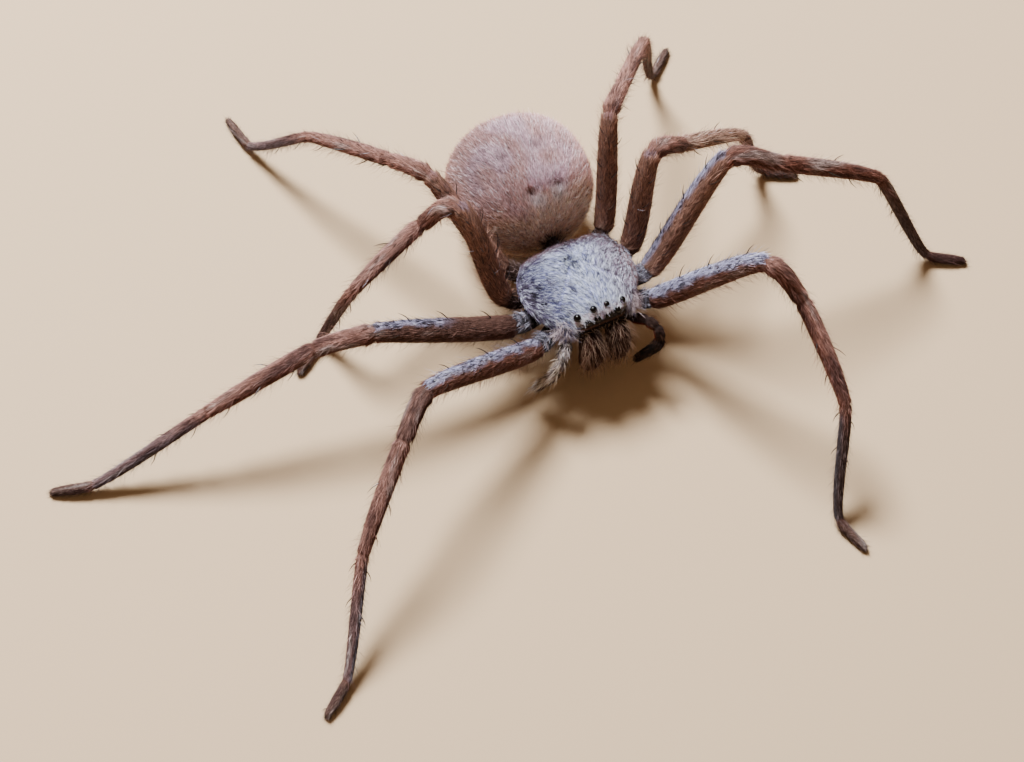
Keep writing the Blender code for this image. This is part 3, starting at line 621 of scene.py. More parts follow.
def tint_leg(leg):
    """Lilac-grey along the top of the femora and maroon-brown at their sides, split by how far each side
    faces the lamp, partly their own marking and partly painted light and shade; fawn tibiae with dark
    lengthwise streaks, slate feet, each in a lit and a painted-shade copy on the same split; coxae dark as
    painted shade under the carapace edge; and rusty rings at the joints. Keeps the shares of the strip and of
    the coxa's pale crescents."""
    up, segment, share = leg.normals[..., 2], leg.segment, leg.share
    which, first_pair, front_pairs = (leg.side, leg.pair), leg.pair == 1, leg.pair <= 2
    seed = leg.pair + (10 if leg.side == "left" else 0)
    grey = LILAC_SHARE[leg.pair]
    # back: how far each point faces up and rearward, towards the lamp. The pale strip and the lit copies
    # below follow it, partly as painted light and shade.
    rise, behind = (0.5, 0.86) if which == ("left", 2) else (0.93, 0.37)
    back = rise * up - behind * leg.normals[..., 0]
    strip = step(back + 0.12 * patches(leg.points, 1.4, 60 + seed), *STRIP_EDGES.get(which, (0.6, 0.8)))
    if which == ("right", 2):
        strip = strip * step(share, 0.42, 0.6)
    leg.strip = strip * (segment == 1) * front_pairs
    lilac = mix(rgb(150, 98, 80), rgb(194, 191, 224), grey)
    femur = mix(rgb(*FEMUR_TINTS.get(which, FEMUR_TINT)), lilac, strip)
    # painted light and shade: lit and shaded copies of the colours of the patella, tibia, metatarsus and
    # tarsus
    lit = step(back, 0.1, 1.0)
    middle = mix(rgb(112, 68, 56), rgb(164, 120, 108), lit)
    shin = mix(rgb(78, 50, 46), rgb(126, 100, 100), lit)
    toe = mix(rgb(62, 42, 36), rgb(108, 82, 74), lit)
    colour = np.where((segment <= 1)[..., None], femur, middle)
    colour = np.where((segment == 4)[..., None], mix(middle, shin, step(share, 0.0, 0.5)), colour)
    colour = np.where((segment == 5)[..., None], toe, colour)

    reach = leg.lengths[segment]
    from_start, from_end = share * reach, (1 - share) * reach
    lower = segment >= 2
    lines = streaks(leg.around, leg.along, 10, 3.0, seed)
    specks = patches(leg.points, 0.5, 40 + seed)
    knee = bell(from_end - 0.8, 0.8) * (segment == 1) * (1 - step(back, -0.5, 0.1))
    inner = np.sum(leg.normals * np.cross(leg.lie, UP), -1) * (1 if leg.side == "left" else -1)
    near = np.where(segment > 0, bell(from_start, 0.4), 0)
    near = near + np.where((segment > 0) & (segment < 5), bell(from_end, 0.4), 0)
    crescents = bell(from_end - 0.55, 0.2) + bell(from_end - 1.35, 0.22)
    leg.crescents = crescents * (segment == 0) * step(up, 0.1, 0.5) * front_pairs
    broken = np.clip(0.7 + 0.5 * patches(leg.points, 0.9, 80 + seed), 0, 1)
    hip = bell(from_start - 0.15, 0.2) * (segment == 1) * (1 - strip * grey)
    inner_share = (0.7 if first_pair else 0.3) * step(inner, 0.15, 0.6)
    inner_share = inner_share * (segment == 4) * step(share, 0.0, 0.2)
    colour = layered(
        colour,
        ((70, 42, 40), 0.75 * step(lines, 0.15, 0.6) * np.where(lower, 1.0, 0.3)),
        ((206, 190, 184), 0.45 * step(-lines, 0.3, 0.9) * step(up, -0.4, 0.3) * np.where(lower, 1.0, 0.5)),
        ((40, 30, 36), step(specks, 0.62, 0.95) * (segment <= 2) * (0.15 + 0.7 * strip)),
        ((158, 76, 62), 0.6 * knee),
        ((84, 86, 98), inner_share),
        ((128, 78, 62), 0.55 * np.clip(near, 0, 1) * (segment > 1)),
        # painted shade: the coxae dark, as under the edge of the carapace; darkest on the front pairs
        ((26, 16, 12) if front_pairs else (58, 38, 31), segment == 0),
        ((190, 186, 208), 0.85 * leg.crescents * broken),
        ((26, 18, 18), 0.85 * np.clip(hip, 0, 1)),
    )
    if which == ("left", 1):
        colour = layered(colour, ((70, 60, 60), 0.6 * (segment == 4) * step(share, 0.0, 0.35)))
        colour = colour * (1 + 0.12 * (segment == 3)[..., None])
    if which == ("left", 3):
        colour = layered(colour, ((206, 168, 146), 0.6 * (segment == 3)))
    if which == ("right", 1):
        # painted shade: the patella of the first right leg at half brightness, as on its shaded side; its
        # tibia a little darker and its metatarsus lighter
        colour = colour * np.array([1, 1, 0.5, 0.88, 1.2, 1])[segment][..., None]
    leg.tint = colour
    leg.fur = np.array(SEGMENT_FUR)[segment]
    leg.density = np.array(SEGMENT_DENSITY)[segment] * (1 - 0.5 * np.clip(near, 0, 1))


def make_mouthparts():
    """Chelicerae and palps: tubes along smooth curves, the palps pinched at their joints."""
    made = {}
    for side, sign in SIDES:
        path = np.array(CHELICERA_PATH) * (1, sign, 1)
        chelicera = tube(path, CHELICERA_RADII, 40, 56, (1.0, 0.0, 0.0), 1.08, SKIN_INSET)
        chelicera.push(0.12 * (bell(chelicera.t - 0.42, 0.2) * step(chelicera.normals[..., 0], 0.1, 0.9)))
        made["chelicera", side] = chelicera
        path = np.array(PALP_PATHS[side]) * (1, sign, 1)
        values, where = hermite(np.column_stack([path, PALP_RADII]), 84)
        pinch = sum(bell(where - joint, 0.12) for joint in PALP_JOINTS)
        widths = values[:, 3] * (1 - 0.16 * pinch) - SKIN_INSET * 1.2
        palp = Surface(rings_along(*with_round_ends(values[:, :3], widths), LEG_COLUMNS))
        palp.pinch = np.repeat(np.pad(pinch, ROUND_STEPS)[:, None], LEG_COLUMNS, 1)
        made["palp", side] = palp
    return made


def tint_chelicera(surface, lines):
    """Dark brown with lighter streaks, almost black at its root."""
    colour = mix(rgb(58, 32, 24), rgb(106, 66, 50), 0.7 * step(lines, -0.1, 0.8))
    surface.tint = layered(colour, ((24, 14, 11), 1 - step(surface.t, 0.16, 0.34)))
    surface.fur, surface.density = np.full(lines.shape, 0.6), np.full(lines.shape, 0.8)


def tint_palp(surface, lines, left):
    """The right palp is straw-grey with dark rings at its joints and a pale tip, the left one smooth brown
    with a black tip."""
    colour = mix(rgb(96, 72, 64), rgb(186, 170, 168), step(surface.normals[..., 2], -0.3, 0.5))
    if left:
        smooth_brown = mix(rgb(40, 15, 5), rgb(146, 62, 24), step(np.abs(surface.around - 0.5), 0.16, 0.3))
        colour = mix(colour, smooth_brown, 0.97 * step(surface.t, 0.14, 0.26))
        colour = layered(colour, ((16, 10, 9), step(surface.t, 0.68, 0.78)))
    colour = layered(
        colour,
        ((24, 16, 15), np.clip(surface.pinch * 1.2, 0, 0.97) * (0.4 if left else 1.0)),
        ((40, 28, 25), 0.85 * step(lines, 0.0, 0.4) * (0.3 if left else 1.0)),
    )
    if not left:
        tip = 0.7 * step(surface.t, 0.78, 0.9) * step(-lines, -0.2, 0.2)
        colour = layered(colour, ((222, 214, 212), tip))
    surface.tint = colour
    surface.fur = 0.42 + (0.2 + 0.4 * step(surface.t, 0.72, 0.95)) * (not left)
    surface.density = np.full(lines.shape, 1.3)


def tint_mouthparts(made):
    """Streaks run along each piece, and its own colours follow them."""
    for (kind, side), surface in made.items():
        lines = streaks(surface.around, surface.along, 12, 2.2, 71 + (side == "left"))
        if kind == "chelicera":
            tint_chelicera(surface, lines)
        else:
            tint_palp(surface, lines, side == "left")


def make_rear():
    """Stalk between carapace and abdomen, and the spinnerets: a short stub, two long fingers and two short
    ones."""
    root = np.array(SPINNERET_ROOT)
    stalk = tube((PEDICEL_FROM, (-5.8, 0.0, -0.85), PEDICEL_TO), (PEDICEL_RADIUS,) * 3, 24, 16, inset=0.1)
    stub = tube((root, root + (-SPINNERET_LENGTH * 0.75, 0, -0.4)), (1.15, 0.75), 28, 16, inset=0.1)
    made = [stalk, stub]
    for sign in (1, -1):
        tip = root + (-SPINNERET_LENGTH - 0.5, sign * 0.75, -0.65)
        made.append(tube((root + (-0.4, sign * 0.5, 0), tip), (0.62, 0.34), 20, 20))
        tip = root + (-SPINNERET_LENGTH + 0.3, sign * 0.35, -1.1)
        made.append(tube((root + (-0.4, sign * 0.4, -0.4), tip), (0.45, 0.28), 16, 16))
    for surface in made:
        surface.tint[:] = rgb(70, 48, 42) if surface is stalk else rgb(112, 84, 72)
    return made


# Meshes


def link(obj):
    """Puts an object into the scene."""
    bpy.context.scene.collection.objects.link(obj)
    return obj


def mesh_object(name, vertices, faces, tint, smooth=True):
    """Object from points on the body's axes, at the origin, with the tint as its colour attribute.
    Triangles come as an array, other faces as lists."""
    mesh = bpy.data.meshes.new(name)
    vertices = place(vertices)
    vertices[:, 2] = np.maximum(vertices[:, 2], 0.00002)
    if isinstance(faces, np.ndarray):
        count, size = faces.shape
        mesh.vertices.add(len(vertices))
        mesh.vertices.foreach_set("co", vertices.ravel())
        mesh.loops.add(count * size)
        mesh.loops.foreach_set("vertex_index", faces.ravel().astype(np.int32))
        mesh.polygons.add(count)
        mesh.polygons.foreach_set("loop_start", np.arange(count, dtype=np.int32) * size)
        mesh.update(calc_edges=True)
    else:
        mesh.from_pydata(vertices.tolist(), [], faces)
    mesh.polygons.foreach_set("use_smooth", np.full(len(mesh.polygons), smooth))
    layer = mesh.color_attributes.new("tint", "FLOAT_COLOR", "POINT")
    layer.data.foreach_set("color", np.column_stack([np.clip(tint, 0, 1), np.ones(len(tint))]).ravel())
    mesh.validate()
    return link(bpy.data.objects.new(name, mesh))


def join_surfaces(name, surfaces, darken=1.0):
    """One object of several closed grids."""
    vertices, faces, tints, count = [], [], [], 0
    for surface in surfaces:
        rows, columns = surface.points.shape[:2]
        vertices.append(surface.points.reshape(-1, 3))
        tints.append(surface.tint.reshape(-1, 3) * darken)
        faces += [[corner + count for corner in face] for face in grid_faces(rows, columns, not surface.flip)]
        count += rows * columns
    return mesh_object(name, np.concatenate(vertices), faces, np.concatenate(tints))


# Every draw for the hairs comes from this one generator, in the order of the coats.
HAIRS = np.random.default_rng(5)
# How deep a root lies under the skin in millimetres, and half the side of a hair's patch on the map.
ROOT_DEPTH, PATCH_HALF = 0.05, 0.0015
# Density added to a group that some legs lack, so that its roots can still be drawn there.
FAINT = 1e-6
# A hair's sliver, without and with a joint: rings as (share of its length, share of its width), triangles,
# corners on the map, and shades from root to tip: darker at the root as painted shade deep in the coat,
# lighter at the tip.
SLIVERS = {
    1: (
        ((0.0, 1.0),),
        ((0, 2, 1), (0, 1, 3), (1, 2, 3), (2, 0, 3)),
        ((-1, -1), (1, -1), (0, -0.6), (0, 1)),
        (0.62, 0.62, 0.62, 1.2),
    ),
    2: (
        ((0.0, 1.0), (0.5, 0.7)),
        (
            (0, 2, 1), (0, 1, 4), (0, 4, 3), (1, 2, 5), (1, 5, 4),
            (2, 0, 3), (2, 3, 5), (3, 4, 6), (4, 5, 6), (5, 3, 6),
        ),
        ((-1, -1), (1, -1), (0, -0.6), (-0.7, 0), (0.7, 0), (0, 0.2), (0, 1)),
        (0.62, 0.62, 0.62, 0.95, 0.95, 0.95, 1.2),
    ),
}


def plant(surface, count, where=None, lock=1):
    """Roots of hairs at random over the surface, as many to a square millimetre as its density says. Place,
    normal, lie, tint and length are read between the grid's points. The hairs of a lock root side by side,
    spread a little across the lie and more along it."""
    number = count // lock
    rows, columns = surface.points.shape[:2]
    grids = {name: getattr(surface, name) for name in ("points", "normals", "lie", "tint", "fur", "density")}
    if where is not None:
        grids["density"] = where
    grids = {name: np.concatenate([grid, grid[:, :1]], 1) for name, grid in grids.items()}
    p, dense = grids["points"], grids["density"]
    area = np.linalg.norm(np.cross(p[1:, 1:] - p[:-1, :-1], p[1:, :-1] - p[:-1, 1:]), axis=-1) / 2
    weight = (area * (dense[1:, 1:] + dense[:-1, :-1] + dense[1:, :-1] + dense[:-1, 1:]) / 4).ravel()
    total = np.cumsum(weight)
    cell = np.searchsorted(total, HAIRS.uniform(0, total[-1], number))
    row, column = np.divmod(np.minimum(cell, len(weight) - 1), columns)
    down, across = HAIRS.uniform(0, 1, number), HAIRS.uniform(0, 1, number)

    def read(name):
        wide = slice(None) if grids[name].ndim == 2 else (slice(None), None)
        return between(grids[name], row, column, column + 1, down[wide], across[wide])

    hairs = {
        "root": read("points"),
        "normal": unit(read("normals")),
        "lie": unit(read("lie")),
        "tint": read("tint"),
        "length": read("fur"),
        "chart": np.stack([(column + across) / columns, (row + down) / (rows - 1)], 1),
        "lock": np.arange(number),
    }
    if lock > 1:
        hairs = {name: np.repeat(value, lock, 0) for name, value in hairs.items()}
        side = np.cross(hairs["normal"], hairs["lie"])
        along = hairs["lie"] * HAIRS.normal(0, 0.17, (number * lock, 1))
        hairs["root"] = hairs["root"] + along + side * HAIRS.normal(0, 0.035, (number * lock, 1))
    return hairs


def comb(
    hairs,
    lean,
    spread=12.0,
    length=1.0,
    width=0.06,
    bend=0.0,
    curl=0.0,
    colours=0.2,
    dark=0.06,
    dark_tint=(52, 36, 34),
    pale=0.0,
    pale_tint=None,
    fade=False,
    speckle=0.0,
):
    """Gives hairs their way, size and colour. The lean is the angle to the skin in degrees, the spread is
    how far they stray sideways, and the bend is how much of the lean their tips lose. A lock shares its
    stray and its colour. Pale locks take the pale tint, or else their own colour made lighter, and with
    fade they are rare where the coat is dark. Speckle adds dark hairs where the coat is light."""
    count, locks = len(hairs["root"]), hairs["lock"]
    number = locks[-1] + 1
    normal, side = hairs["normal"], np.cross(hairs["normal"], hairs["lie"])
    stray = np.radians(HAIRS.normal(0, spread, number)[locks] + HAIRS.normal(0, spread * 0.3, count))[:, None]
    flat = hairs["lie"] * np.cos(stray) + side * np.sin(stray)
    lift = np.radians(np.clip(HAIRS.normal(lean, lean * 0.25, count), 2, 85))[:, None]
    hairs["way"] = flat * np.cos(lift) + normal * np.sin(lift)
    tip_lift = lift * (1 - bend)
    drift = HAIRS.normal(0, 1, (count, 1)) * curl
    hairs["tip_way"] = unit(flat * np.cos(tip_lift) + normal * np.sin(tip_lift) + side * drift)
    hairs["length"] = hairs["length"] * length * np.clip(HAIRS.normal(1, 0.25, count), 0.4, 1.8)
    hairs["width"] = width * HAIRS.uniform(0.7, 1.3, count)
    shade = np.exp(HAIRS.normal(0, colours, number)[locks] + HAIRS.normal(0, 0.1, count))
    tint = hairs["tint"] * shade[:, None]
    pick = HAIRS.uniform(0, 1, number)[locks]
    bright = tint.mean(1)
    pale = pale * step(bright, 0.04, 0.34) if fade else pale
    dark = dark + speckle * step(bright, 0.12, 0.34)
    tint = mix(tint, rgb(*dark_tint), 0.85 * (pick < dark))
    light = np.minimum(tint * 1.9 + 0.03, 0.95) if pale_tint is None else rgb(*pale_tint)
    hairs["tint"] = mix(tint, light, 0.8 * (pick > 1 - pale))
    return hairs


def grow(surface, count, where=None, lock=1, joints=2, strip=0, strips=1, **looks):
    """One group of a coat: planted and combed hairs, the joints of a hair, and its strip of the map's
    strips."""
    return comb(plant(surface, count, where, lock), **looks), joints, strip, strips


def hair_arrays(hairs, joints):
    """Points, triangles, colours and map corners of hairs. Each is a closed sliver with three sides: a
    triangle at its sunk root, one more at its bend where it has a joint, and a point. Its patch on the map
    lies at its root's place."""
    ring_places, triangles, patch, shade = SLIVERS[joints]
    way = hairs["way"]
    length, width = hairs["length"][:, None], hairs["width"][:, None]
    side = unit(np.cross(hairs["normal"], way))
    rise = np.cross(way, side)
    base = hairs["root"] - hairs["normal"] * ROOT_DEPTH
    rings = []
    for share, wide in ring_places:
        centre = base + way * length * share
        half = side * width * wide / 2
        rings += [centre - half, centre + half, centre + rise * width * wide * 0.45]
    tip = base + way * length if joints == 1 else base + way * length * 0.5 + hairs["tip_way"] * length * 0.5
    points = np.stack(rings + [tip], 1)
    count, size = points.shape[:2]
    faces = (np.array(triangles)[None] + (np.arange(count) * size)[:, None, None]).reshape(-1, 3)
    # painted shade: each hair darker towards its root, deep in the coat, and lighter at its tip
    tint = hairs["tint"][:, None] * np.array(shade)[None, :, None]
    spots = hairs["chart"][:, None] + np.array(patch)[None] * PATCH_HALF
    return points.reshape(-1, 3), faces, tint.reshape(-1, 3), spots.reshape(-1, 2)


def coat(name, groups, look):
    """One piece of coat from groups of hairs. The unwraps of its surfaces lie side by side on the map as
    strips."""
    points, faces, tints, spots, count = [], [], [], [], 0
    for hairs, joints, strip, strips in groups:
        around, along = hairs["chart"].T
        hairs["chart"] = np.stack([0.004 + 0.992 * along, (strip + 0.03 + 0.94 * around) / strips], 1)
        p, f, t, s = hair_arrays(hairs, joints)
        points.append(p)
        faces.append(f + count)
        tints.append(t)
        spots.append(s)
        count += len(p)
    faces = np.concatenate(faces)
    obj = mesh_object(name, np.concatenate(points), faces, np.concatenate(tints), smooth=False)
    layer = obj.data.uv_layers.new(name="OFBake")
    layer.data.foreach_set("uv", np.clip(np.concatenate(spots)[faces.ravel()], 0, 1).ravel())
    dress(obj, look)


# Finishes


def finish_nodes(name):
    """A new material, its node tree and its shader."""
    made = bpy.data.materials.new(name)
    made.use_nodes = True
    return made, made.node_tree, made.node_tree.nodes["Principled BSDF"]


def settle(node, **values):
    """Sets sockets of a node. A name's underscores stand for the spaces of the socket's name."""
    for name, value in values.items():
        node.inputs[name.replace("_", " ")].default_value = value


def grain(tree, scale, detail=3.0):
    """Noise on Object coordinates, its scale counted in lumps to a metre."""
    spot = tree.nodes.new("ShaderNodeTexCoord")
    noise = tree.nodes.new("ShaderNodeTexNoise")
    settle(noise, Scale=scale, Detail=detail)
    tree.links.new(spot.outputs["Object"], noise.inputs["Vector"])
    return noise.outputs["Fac"]


def shades(tree, noise, start, dark, light):
    """Colour that runs from dark to light as the noise rises from the start to 0.7."""
    ramp = tree.nodes.new("ShaderNodeValToRGB")
    for element, position, colour in zip(ramp.color_ramp.elements, (start, 0.7), (dark, light)):
        element.position, element.color = position, (*colour, 1)
    tree.links.new(noise, ramp.inputs["Fac"])
    return ramp.outputs["Color"]


def tinted(tree, shader, noise, dark, light):
    """Base colour: the tint attribute times a grey that follows the noise."""
    tint = tree.nodes.new("ShaderNodeAttribute")
    tint.attribute_name = "tint"
    blend = tree.nodes.new("ShaderNodeMix")
    blend.data_type, blend.blend_type = "RGBA", "MULTIPLY"
    blend.inputs[0].default_value = 1.0
    tree.links.new(tint.outputs["Color"], blend.inputs[6])
    tree.links.new(shades(tree, noise, 0.3, (dark,) * 3, (light,) * 3), blend.inputs[7])
    tree.links.new(blend.outputs[2], shader.inputs["Base Color"])


def bumpy(tree, shader, noise, strength, distance):
    """Small bumps that follow the noise."""
    bump = tree.nodes.new("ShaderNodeBump")
    settle(bump, Strength=strength, Distance=distance)
    tree.links.new(noise, bump.inputs["Height"])
    tree.links.new(bump.outputs["Normal"], shader.inputs["Normal"])


def skin_finish():
    """Dull skin under the coat, in its colours."""
    made, tree, shader = finish_nodes("hairy_skin")
    tinted(tree, shader, grain(tree, 5200, 4.0), 0.6, 1.1)
    bumpy(tree, shader, grain(tree, 9000), 0.5, 0.00004)
    settle(shader, Roughness=0.8, Specular_IOR_Level=0.1)
    return made


def hair_finish(name, roughness, sheen, gloss):
    """Hair in its own colours, with the given roughness, sheen and gloss."""
    made, tree, shader = finish_nodes(name)
    tinted(tree, shader, grain(tree, 1400, 2.0), 0.82, 1.15)
    settle(shader, Roughness=roughness, Sheen_Weight=sheen, Sheen_Roughness=0.4, Specular_IOR_Level=gloss)
    return made


def hard_finish(name, dark, light, scale, roughness, gloss):
    """Hard dark horn, its colour between two browns."""
    made, tree, shader = finish_nodes(name)
    noise = grain(tree, scale)
    tree.links.new(shades(tree, noise, 0.35, rgb(*dark), rgb(*light)), shader.inputs["Base Color"])
    bumpy(tree, shader, noise, 0.15, 0.00002)
    settle(shader, Roughness=roughness, Coat_Weight=gloss, Coat_Roughness=0.08)
    return made


def dress(obj, look):
    """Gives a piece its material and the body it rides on."""
    obj.data.materials.clear()
    obj.data.materials.append(look)
    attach(obj, "root")


# The spider


LEG_PARTS = ("coxa", "femur", "patella", "tibia", "foot")
# The nodes of flesh among the solids: the skin takes their place.
FLESH = ["cephalothorax", "pedicel", "abdomen", "spinnerets"]
FLESH += [f"{part}_{side}" for part in ("chelicera", "palp") for side, _ in SIDES]
FLESH += [f"leg_{side}_{pair}_{part}" for side, pair in POSE for part in LEG_PARTS]


def make_skin(trunk, abdomen, legs, mouthparts, rear):
    """One skin of all the flesh, darker than its coat."""
    surfaces = [trunk, abdomen, *legs.values(), *mouthparts.values(), *rear]
    skin = join_surfaces("skin", surfaces, darken=0.5)
    dress(skin, skin_finish())
    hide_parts(*FLESH)


def coat_the_abdomen(abdomen, rear, look):
    """Short locks all over with longer single hairs between them, and shaggy hair round the stalk, coloured
    dark as painted shade for the gap between abdomen and carapace.
    """
    stalk, stub = rear[:2]
    short = dict(lean=26, length=0.95, width=0.058, dark=0.08)
    short |= dict(pale=0.16, pale_tint=(232, 214, 220), fade=True)
    # painted shade: the shaggy hair round the stalk is all dark, for the gap between abdomen and carapace
    shaggy = dict(lean=55, spread=35, length=2.4, bend=0.3, dark=1.0, dark_tint=(40, 26, 20))
    groups = [
        grow(abdomen, 41000, lock=2, joints=1, strips=3, **short),
        grow(abdomen, 2000, strips=3, lean=48, spread=18, length=1.7, width=0.036, bend=0.4, pale=0.6),
        grow(stub, 500, joints=1, strip=1, strips=3, lean=25, length=0.8),
        grow(stalk, 600, strip=2, strips=3, **shaggy),
    ]
    coat("coat_abdomen", groups, look)


def coat_the_carapace(trunk, look):
    """Flat locks all over, and over them: stray hairs, short ones on the brow, pale lashes and tufts by the
    eyes, dark ones on the marks, bristles on the lip and curved ones at the front corners."""
    up = trunk.normals[..., 2]
    f, l, u = (trunk.points[..., axis] for axis in range(3))
    aside, on_top = np.abs(l), step(u, 1.2, 1.7)
    brow = bell(f - 5.9, 0.22) * on_top * step(3.4 - aside, 0, 0.5)
    tufts = bell(np.hypot(f - 6.0, aside - 2.5), 0.36) * on_top * np.where(l > 0, 0.3, 1.0)
    rear_eyes = [eye for eye in EYES if "rear" in eye[0]]
    before = (np.hypot(f - forward - 0.45, aside - out) for _, forward, out, _ in rear_eyes)
    lashes = sum(bell(away, 0.3) for away in before) * on_top
    marks = sum(np.exp(-apart(f, l, *mark)) for mark in CARAPACE_MARKS) * step(u, 0.5, 1.0)
    corners = bell(f - 5.7, 0.9) * bell(aside - 4.8, 0.8) * bell(u - 0.7, 0.8)
    lip = bell(f - 7.2, 0.25) * step(1.2 - u, 0, 0.3) * step(3.6 - aside, 0, 0.5)
    flat = dict(lean=12, spread=15, width=0.052, colours=0.24, dark=0.24, dark_tint=(40, 34, 46))
    flat |= dict(pale=0.52, pale_tint=(230, 236, 255), fade=True)
    kinds = (
        (600, step(up, 0.1, 0.5), 1, dict(lean=34, spread=24, length=1.3, width=0.045, bend=0.4, dark=0.5)),
        (270, brow, 3, dict(
            lean=42, spread=34, length=1.25, width=0.044, bend=0.3, dark=0.5, dark_tint=(112, 78, 76),
            pale=0.2, pale_tint=(214, 190, 194),
        )),
        (120, lashes, 3, dict(
            lean=52, spread=26, width=0.04, bend=0.3, dark=0.2, pale=0.6, pale_tint=(222, 208, 216),
        )),
        (140, tufts, 4, dict(
            lean=46, spread=30, length=1.7, width=0.045, bend=0.4, dark=0.1,
            pale=0.8, pale_tint=(232, 232, 242),
        )),
        (200, marks, 4, dict(
            lean=38, spread=30, length=0.9, width=0.08, bend=0.3, dark=1.0, dark_tint=(14, 10, 16),
        )),
        (110, lip, 1, dict(
            lean=25, spread=20, length=2.2, width=0.04, bend=0.5, pale=0.8, pale_tint=(204, 176, 150),
        )),
        (520, corners, 1, dict(
            lean=40, spread=36, length=3.0, width=0.036, bend=0.7, curl=0.25, dark=0.3,
            pale=0.56, pale_tint=(230, 208, 208),
        )),
    )
    groups = [grow(trunk, 39600, lock=3, joints=1, **flat)]
    groups += [grow(trunk, count, where, lock, **looks) for count, where, lock, looks in kinds]
    coat("coat_carapace", groups, look)


def coat_the_legs(legs, look):
    """Three coats on each side, each over two segments of its four legs: flat locks, long hairs and hairs
    that stand out below. The upper ones have pale hairs on the crescents, shaggy coxae and dark specks on
    the strips."""
    short = dict(lean=9, spread=6, colours=0.13, dark=0.07, pale=0.09, speckle=0.25)
    crescent = dict(lean=32, spread=30, length=1.7, width=0.04, bend=0.3, dark=0.2)
    crescent |= dict(pale=0.6, pale_tint=(218, 216, 232), fade=True)
    shaggy = dict(lean=44, spread=34, length=2.2, width=0.04, bend=0.4, dark=0.4)
    shaggy |= dict(pale=0.4, pale_tint=(176, 150, 146))
    speck = dict(lean=20, length=0.9, width=0.1, dark=1.0, dark_tint=(16, 11, 16))
    long = dict(lean=36, spread=16, length=1.9, width=0.032, bend=0.4, dark=0.25, pale=0.45)
    below = dict(lean=52, spread=18, length=2.2, width=0.034, bend=0.4, pale=0.7)
    for label, first, last, count in (("upper", 0, 1, 9000), ("middle", 2, 3, 9000), ("foot", 4, 5, 7120)):
        for side, _ in SIDES:
            groups = []
            for strip, pair in enumerate((1, 2, 3, 4)):
                leg = legs[side, pair]
                here = dict(strip=strip, strips=4)
                chosen = ((leg.segment >= first) & (leg.segment <= last)) * leg.density
                under = chosen * step(-leg.normals[..., 2], 0.1, 0.7)
                groups.append(grow(leg, count, chosen, lock=2, joints=1, **here, **short))
                if label == "upper":
                    coxa_top = (leg.segment == 0) * step(leg.normals[..., 2], -0.3, 0.4)
                    groups.append(grow(leg, 120, leg.crescents + FAINT, **here, **crescent))
                    groups.append(grow(leg, 170, coxa_top + FAINT, **here, **shaggy))
                    groups.append(grow(leg, 400, leg.strip + FAINT, lock=4, joints=1, **here, **speck))
                groups.append(grow(leg, 560, chosen, **here, **long))
                groups.append(grow(leg, 340, under, **here, **below))
            coat(f"coat_leg_{label}_{side}", groups, look)


def coat_the_mouthparts(mouthparts, look):
    """Short hairs all over, long bristles on the front of the chelicerae and long hairs on the palps."""
    groups = []
    bristle = dict(lean=36, spread=18, length=3.5, width=0.027, bend=0.7, curl=0.12)
    bristle |= dict(dark=0.3, dark_tint=(50, 32, 26), pale=0.5, pale_tint=(176, 144, 124))
    for strip, ((kind, side), surface) in enumerate(mouthparts.items()):
        here = dict(strip=strip, strips=4)
        right = side == "right"
        pale = 0.05 if kind == "chelicera" else 0.3 if right else 0.02
        short = dict(lean=12, spread=9, width=0.065, dark=0.3, dark_tint=(36, 24, 20), pale=pale)
        groups.append(grow(surface, 3600, joints=1, **here, **short))
        if kind == "chelicera":
            forward, left, up = (surface.normals[..., axis] for axis in range(3))
            inner = np.maximum(left * (1 if right else -1), 0)
            front = step(forward + 0.4 * up + 0.6 * inner, 0.0, 0.6) * step(surface.t, 0.1, 0.2)
            groups.append(grow(surface, 500, front, **here, **bristle))
        else:
            count, pale_tint = (420, (214, 192, 170)) if right else (170, (96, 66, 50))
            shaggy = dict(lean=28, spread=14, length=2.3, width=0.036, bend=0.5, dark=0.3)
            groups.append(grow(surface, count, **here, **shaggy, pale=0.6, pale_tint=pale_tint))
    coat("coat_mouthparts", groups, look)


def spine_places():
    """Roots, ways and lengths of the leg spines, drawn in the order in which the solids draw theirs."""
    draw = np.random.default_rng(SPINE_SEED)
    found = []
    for side, pair in POSE:
        joints = leg_joints(side, pair)
        ways = [unit(b - a) for a, b in zip(joints, joints[1:])]
        for index, places, reach in SPINE_ROWS:
            leave = ways[index] + (ways[index - 1] if index else ways[0])
            arrive = ways[index] + ways[index + 1]
            for share, turn in places:
                share += draw.uniform(-0.02, 0.02)
                turn = math.radians(turn + draw.uniform(-6, 6))
                length = SPINE_LENGTH * reach * draw.uniform(0.9, 1.1)
                centre, slope = bezier(joints[index], joints[index + 1], leave, arrive, np.array([share]))
                along = unit(slope[0])
                radius = swell(share, JOINT_RADII[index], MIDDLE_RADII[index], JOINT_RADII[index + 1])
                across = unit(np.cross(along, UP))
                outward = math.cos(turn) * across + math.sin(turn) * np.cross(across, along)
                root = centre[0] + outward * (radius * LEG_THICKNESS[pair] - 0.3)
                found.append((root, outward, along, length))
    return found


def make_spines():
    """Thin black spines that leave the leg at a lean and bend towards its tip."""
    surfaces = []
    tilt = math.radians(SPINE_LEAN)
    for root, outward, along, length in spine_places():
        way = math.sin(tilt) * outward + math.cos(tilt) * along
        length = length * 0.9
        path = (root, root + way * length * 0.5 + outward * 0.14, root + way * length)
        surfaces.append(tube(path, SPINE_RADII, 7, 8, unit(np.cross(way, outward))))
    spines = join_surfaces("spines", surfaces)
    dress(spines, hard_finish("black_spine", (14, 10, 10), (44, 30, 26), 3000, 0.35, 0.2))


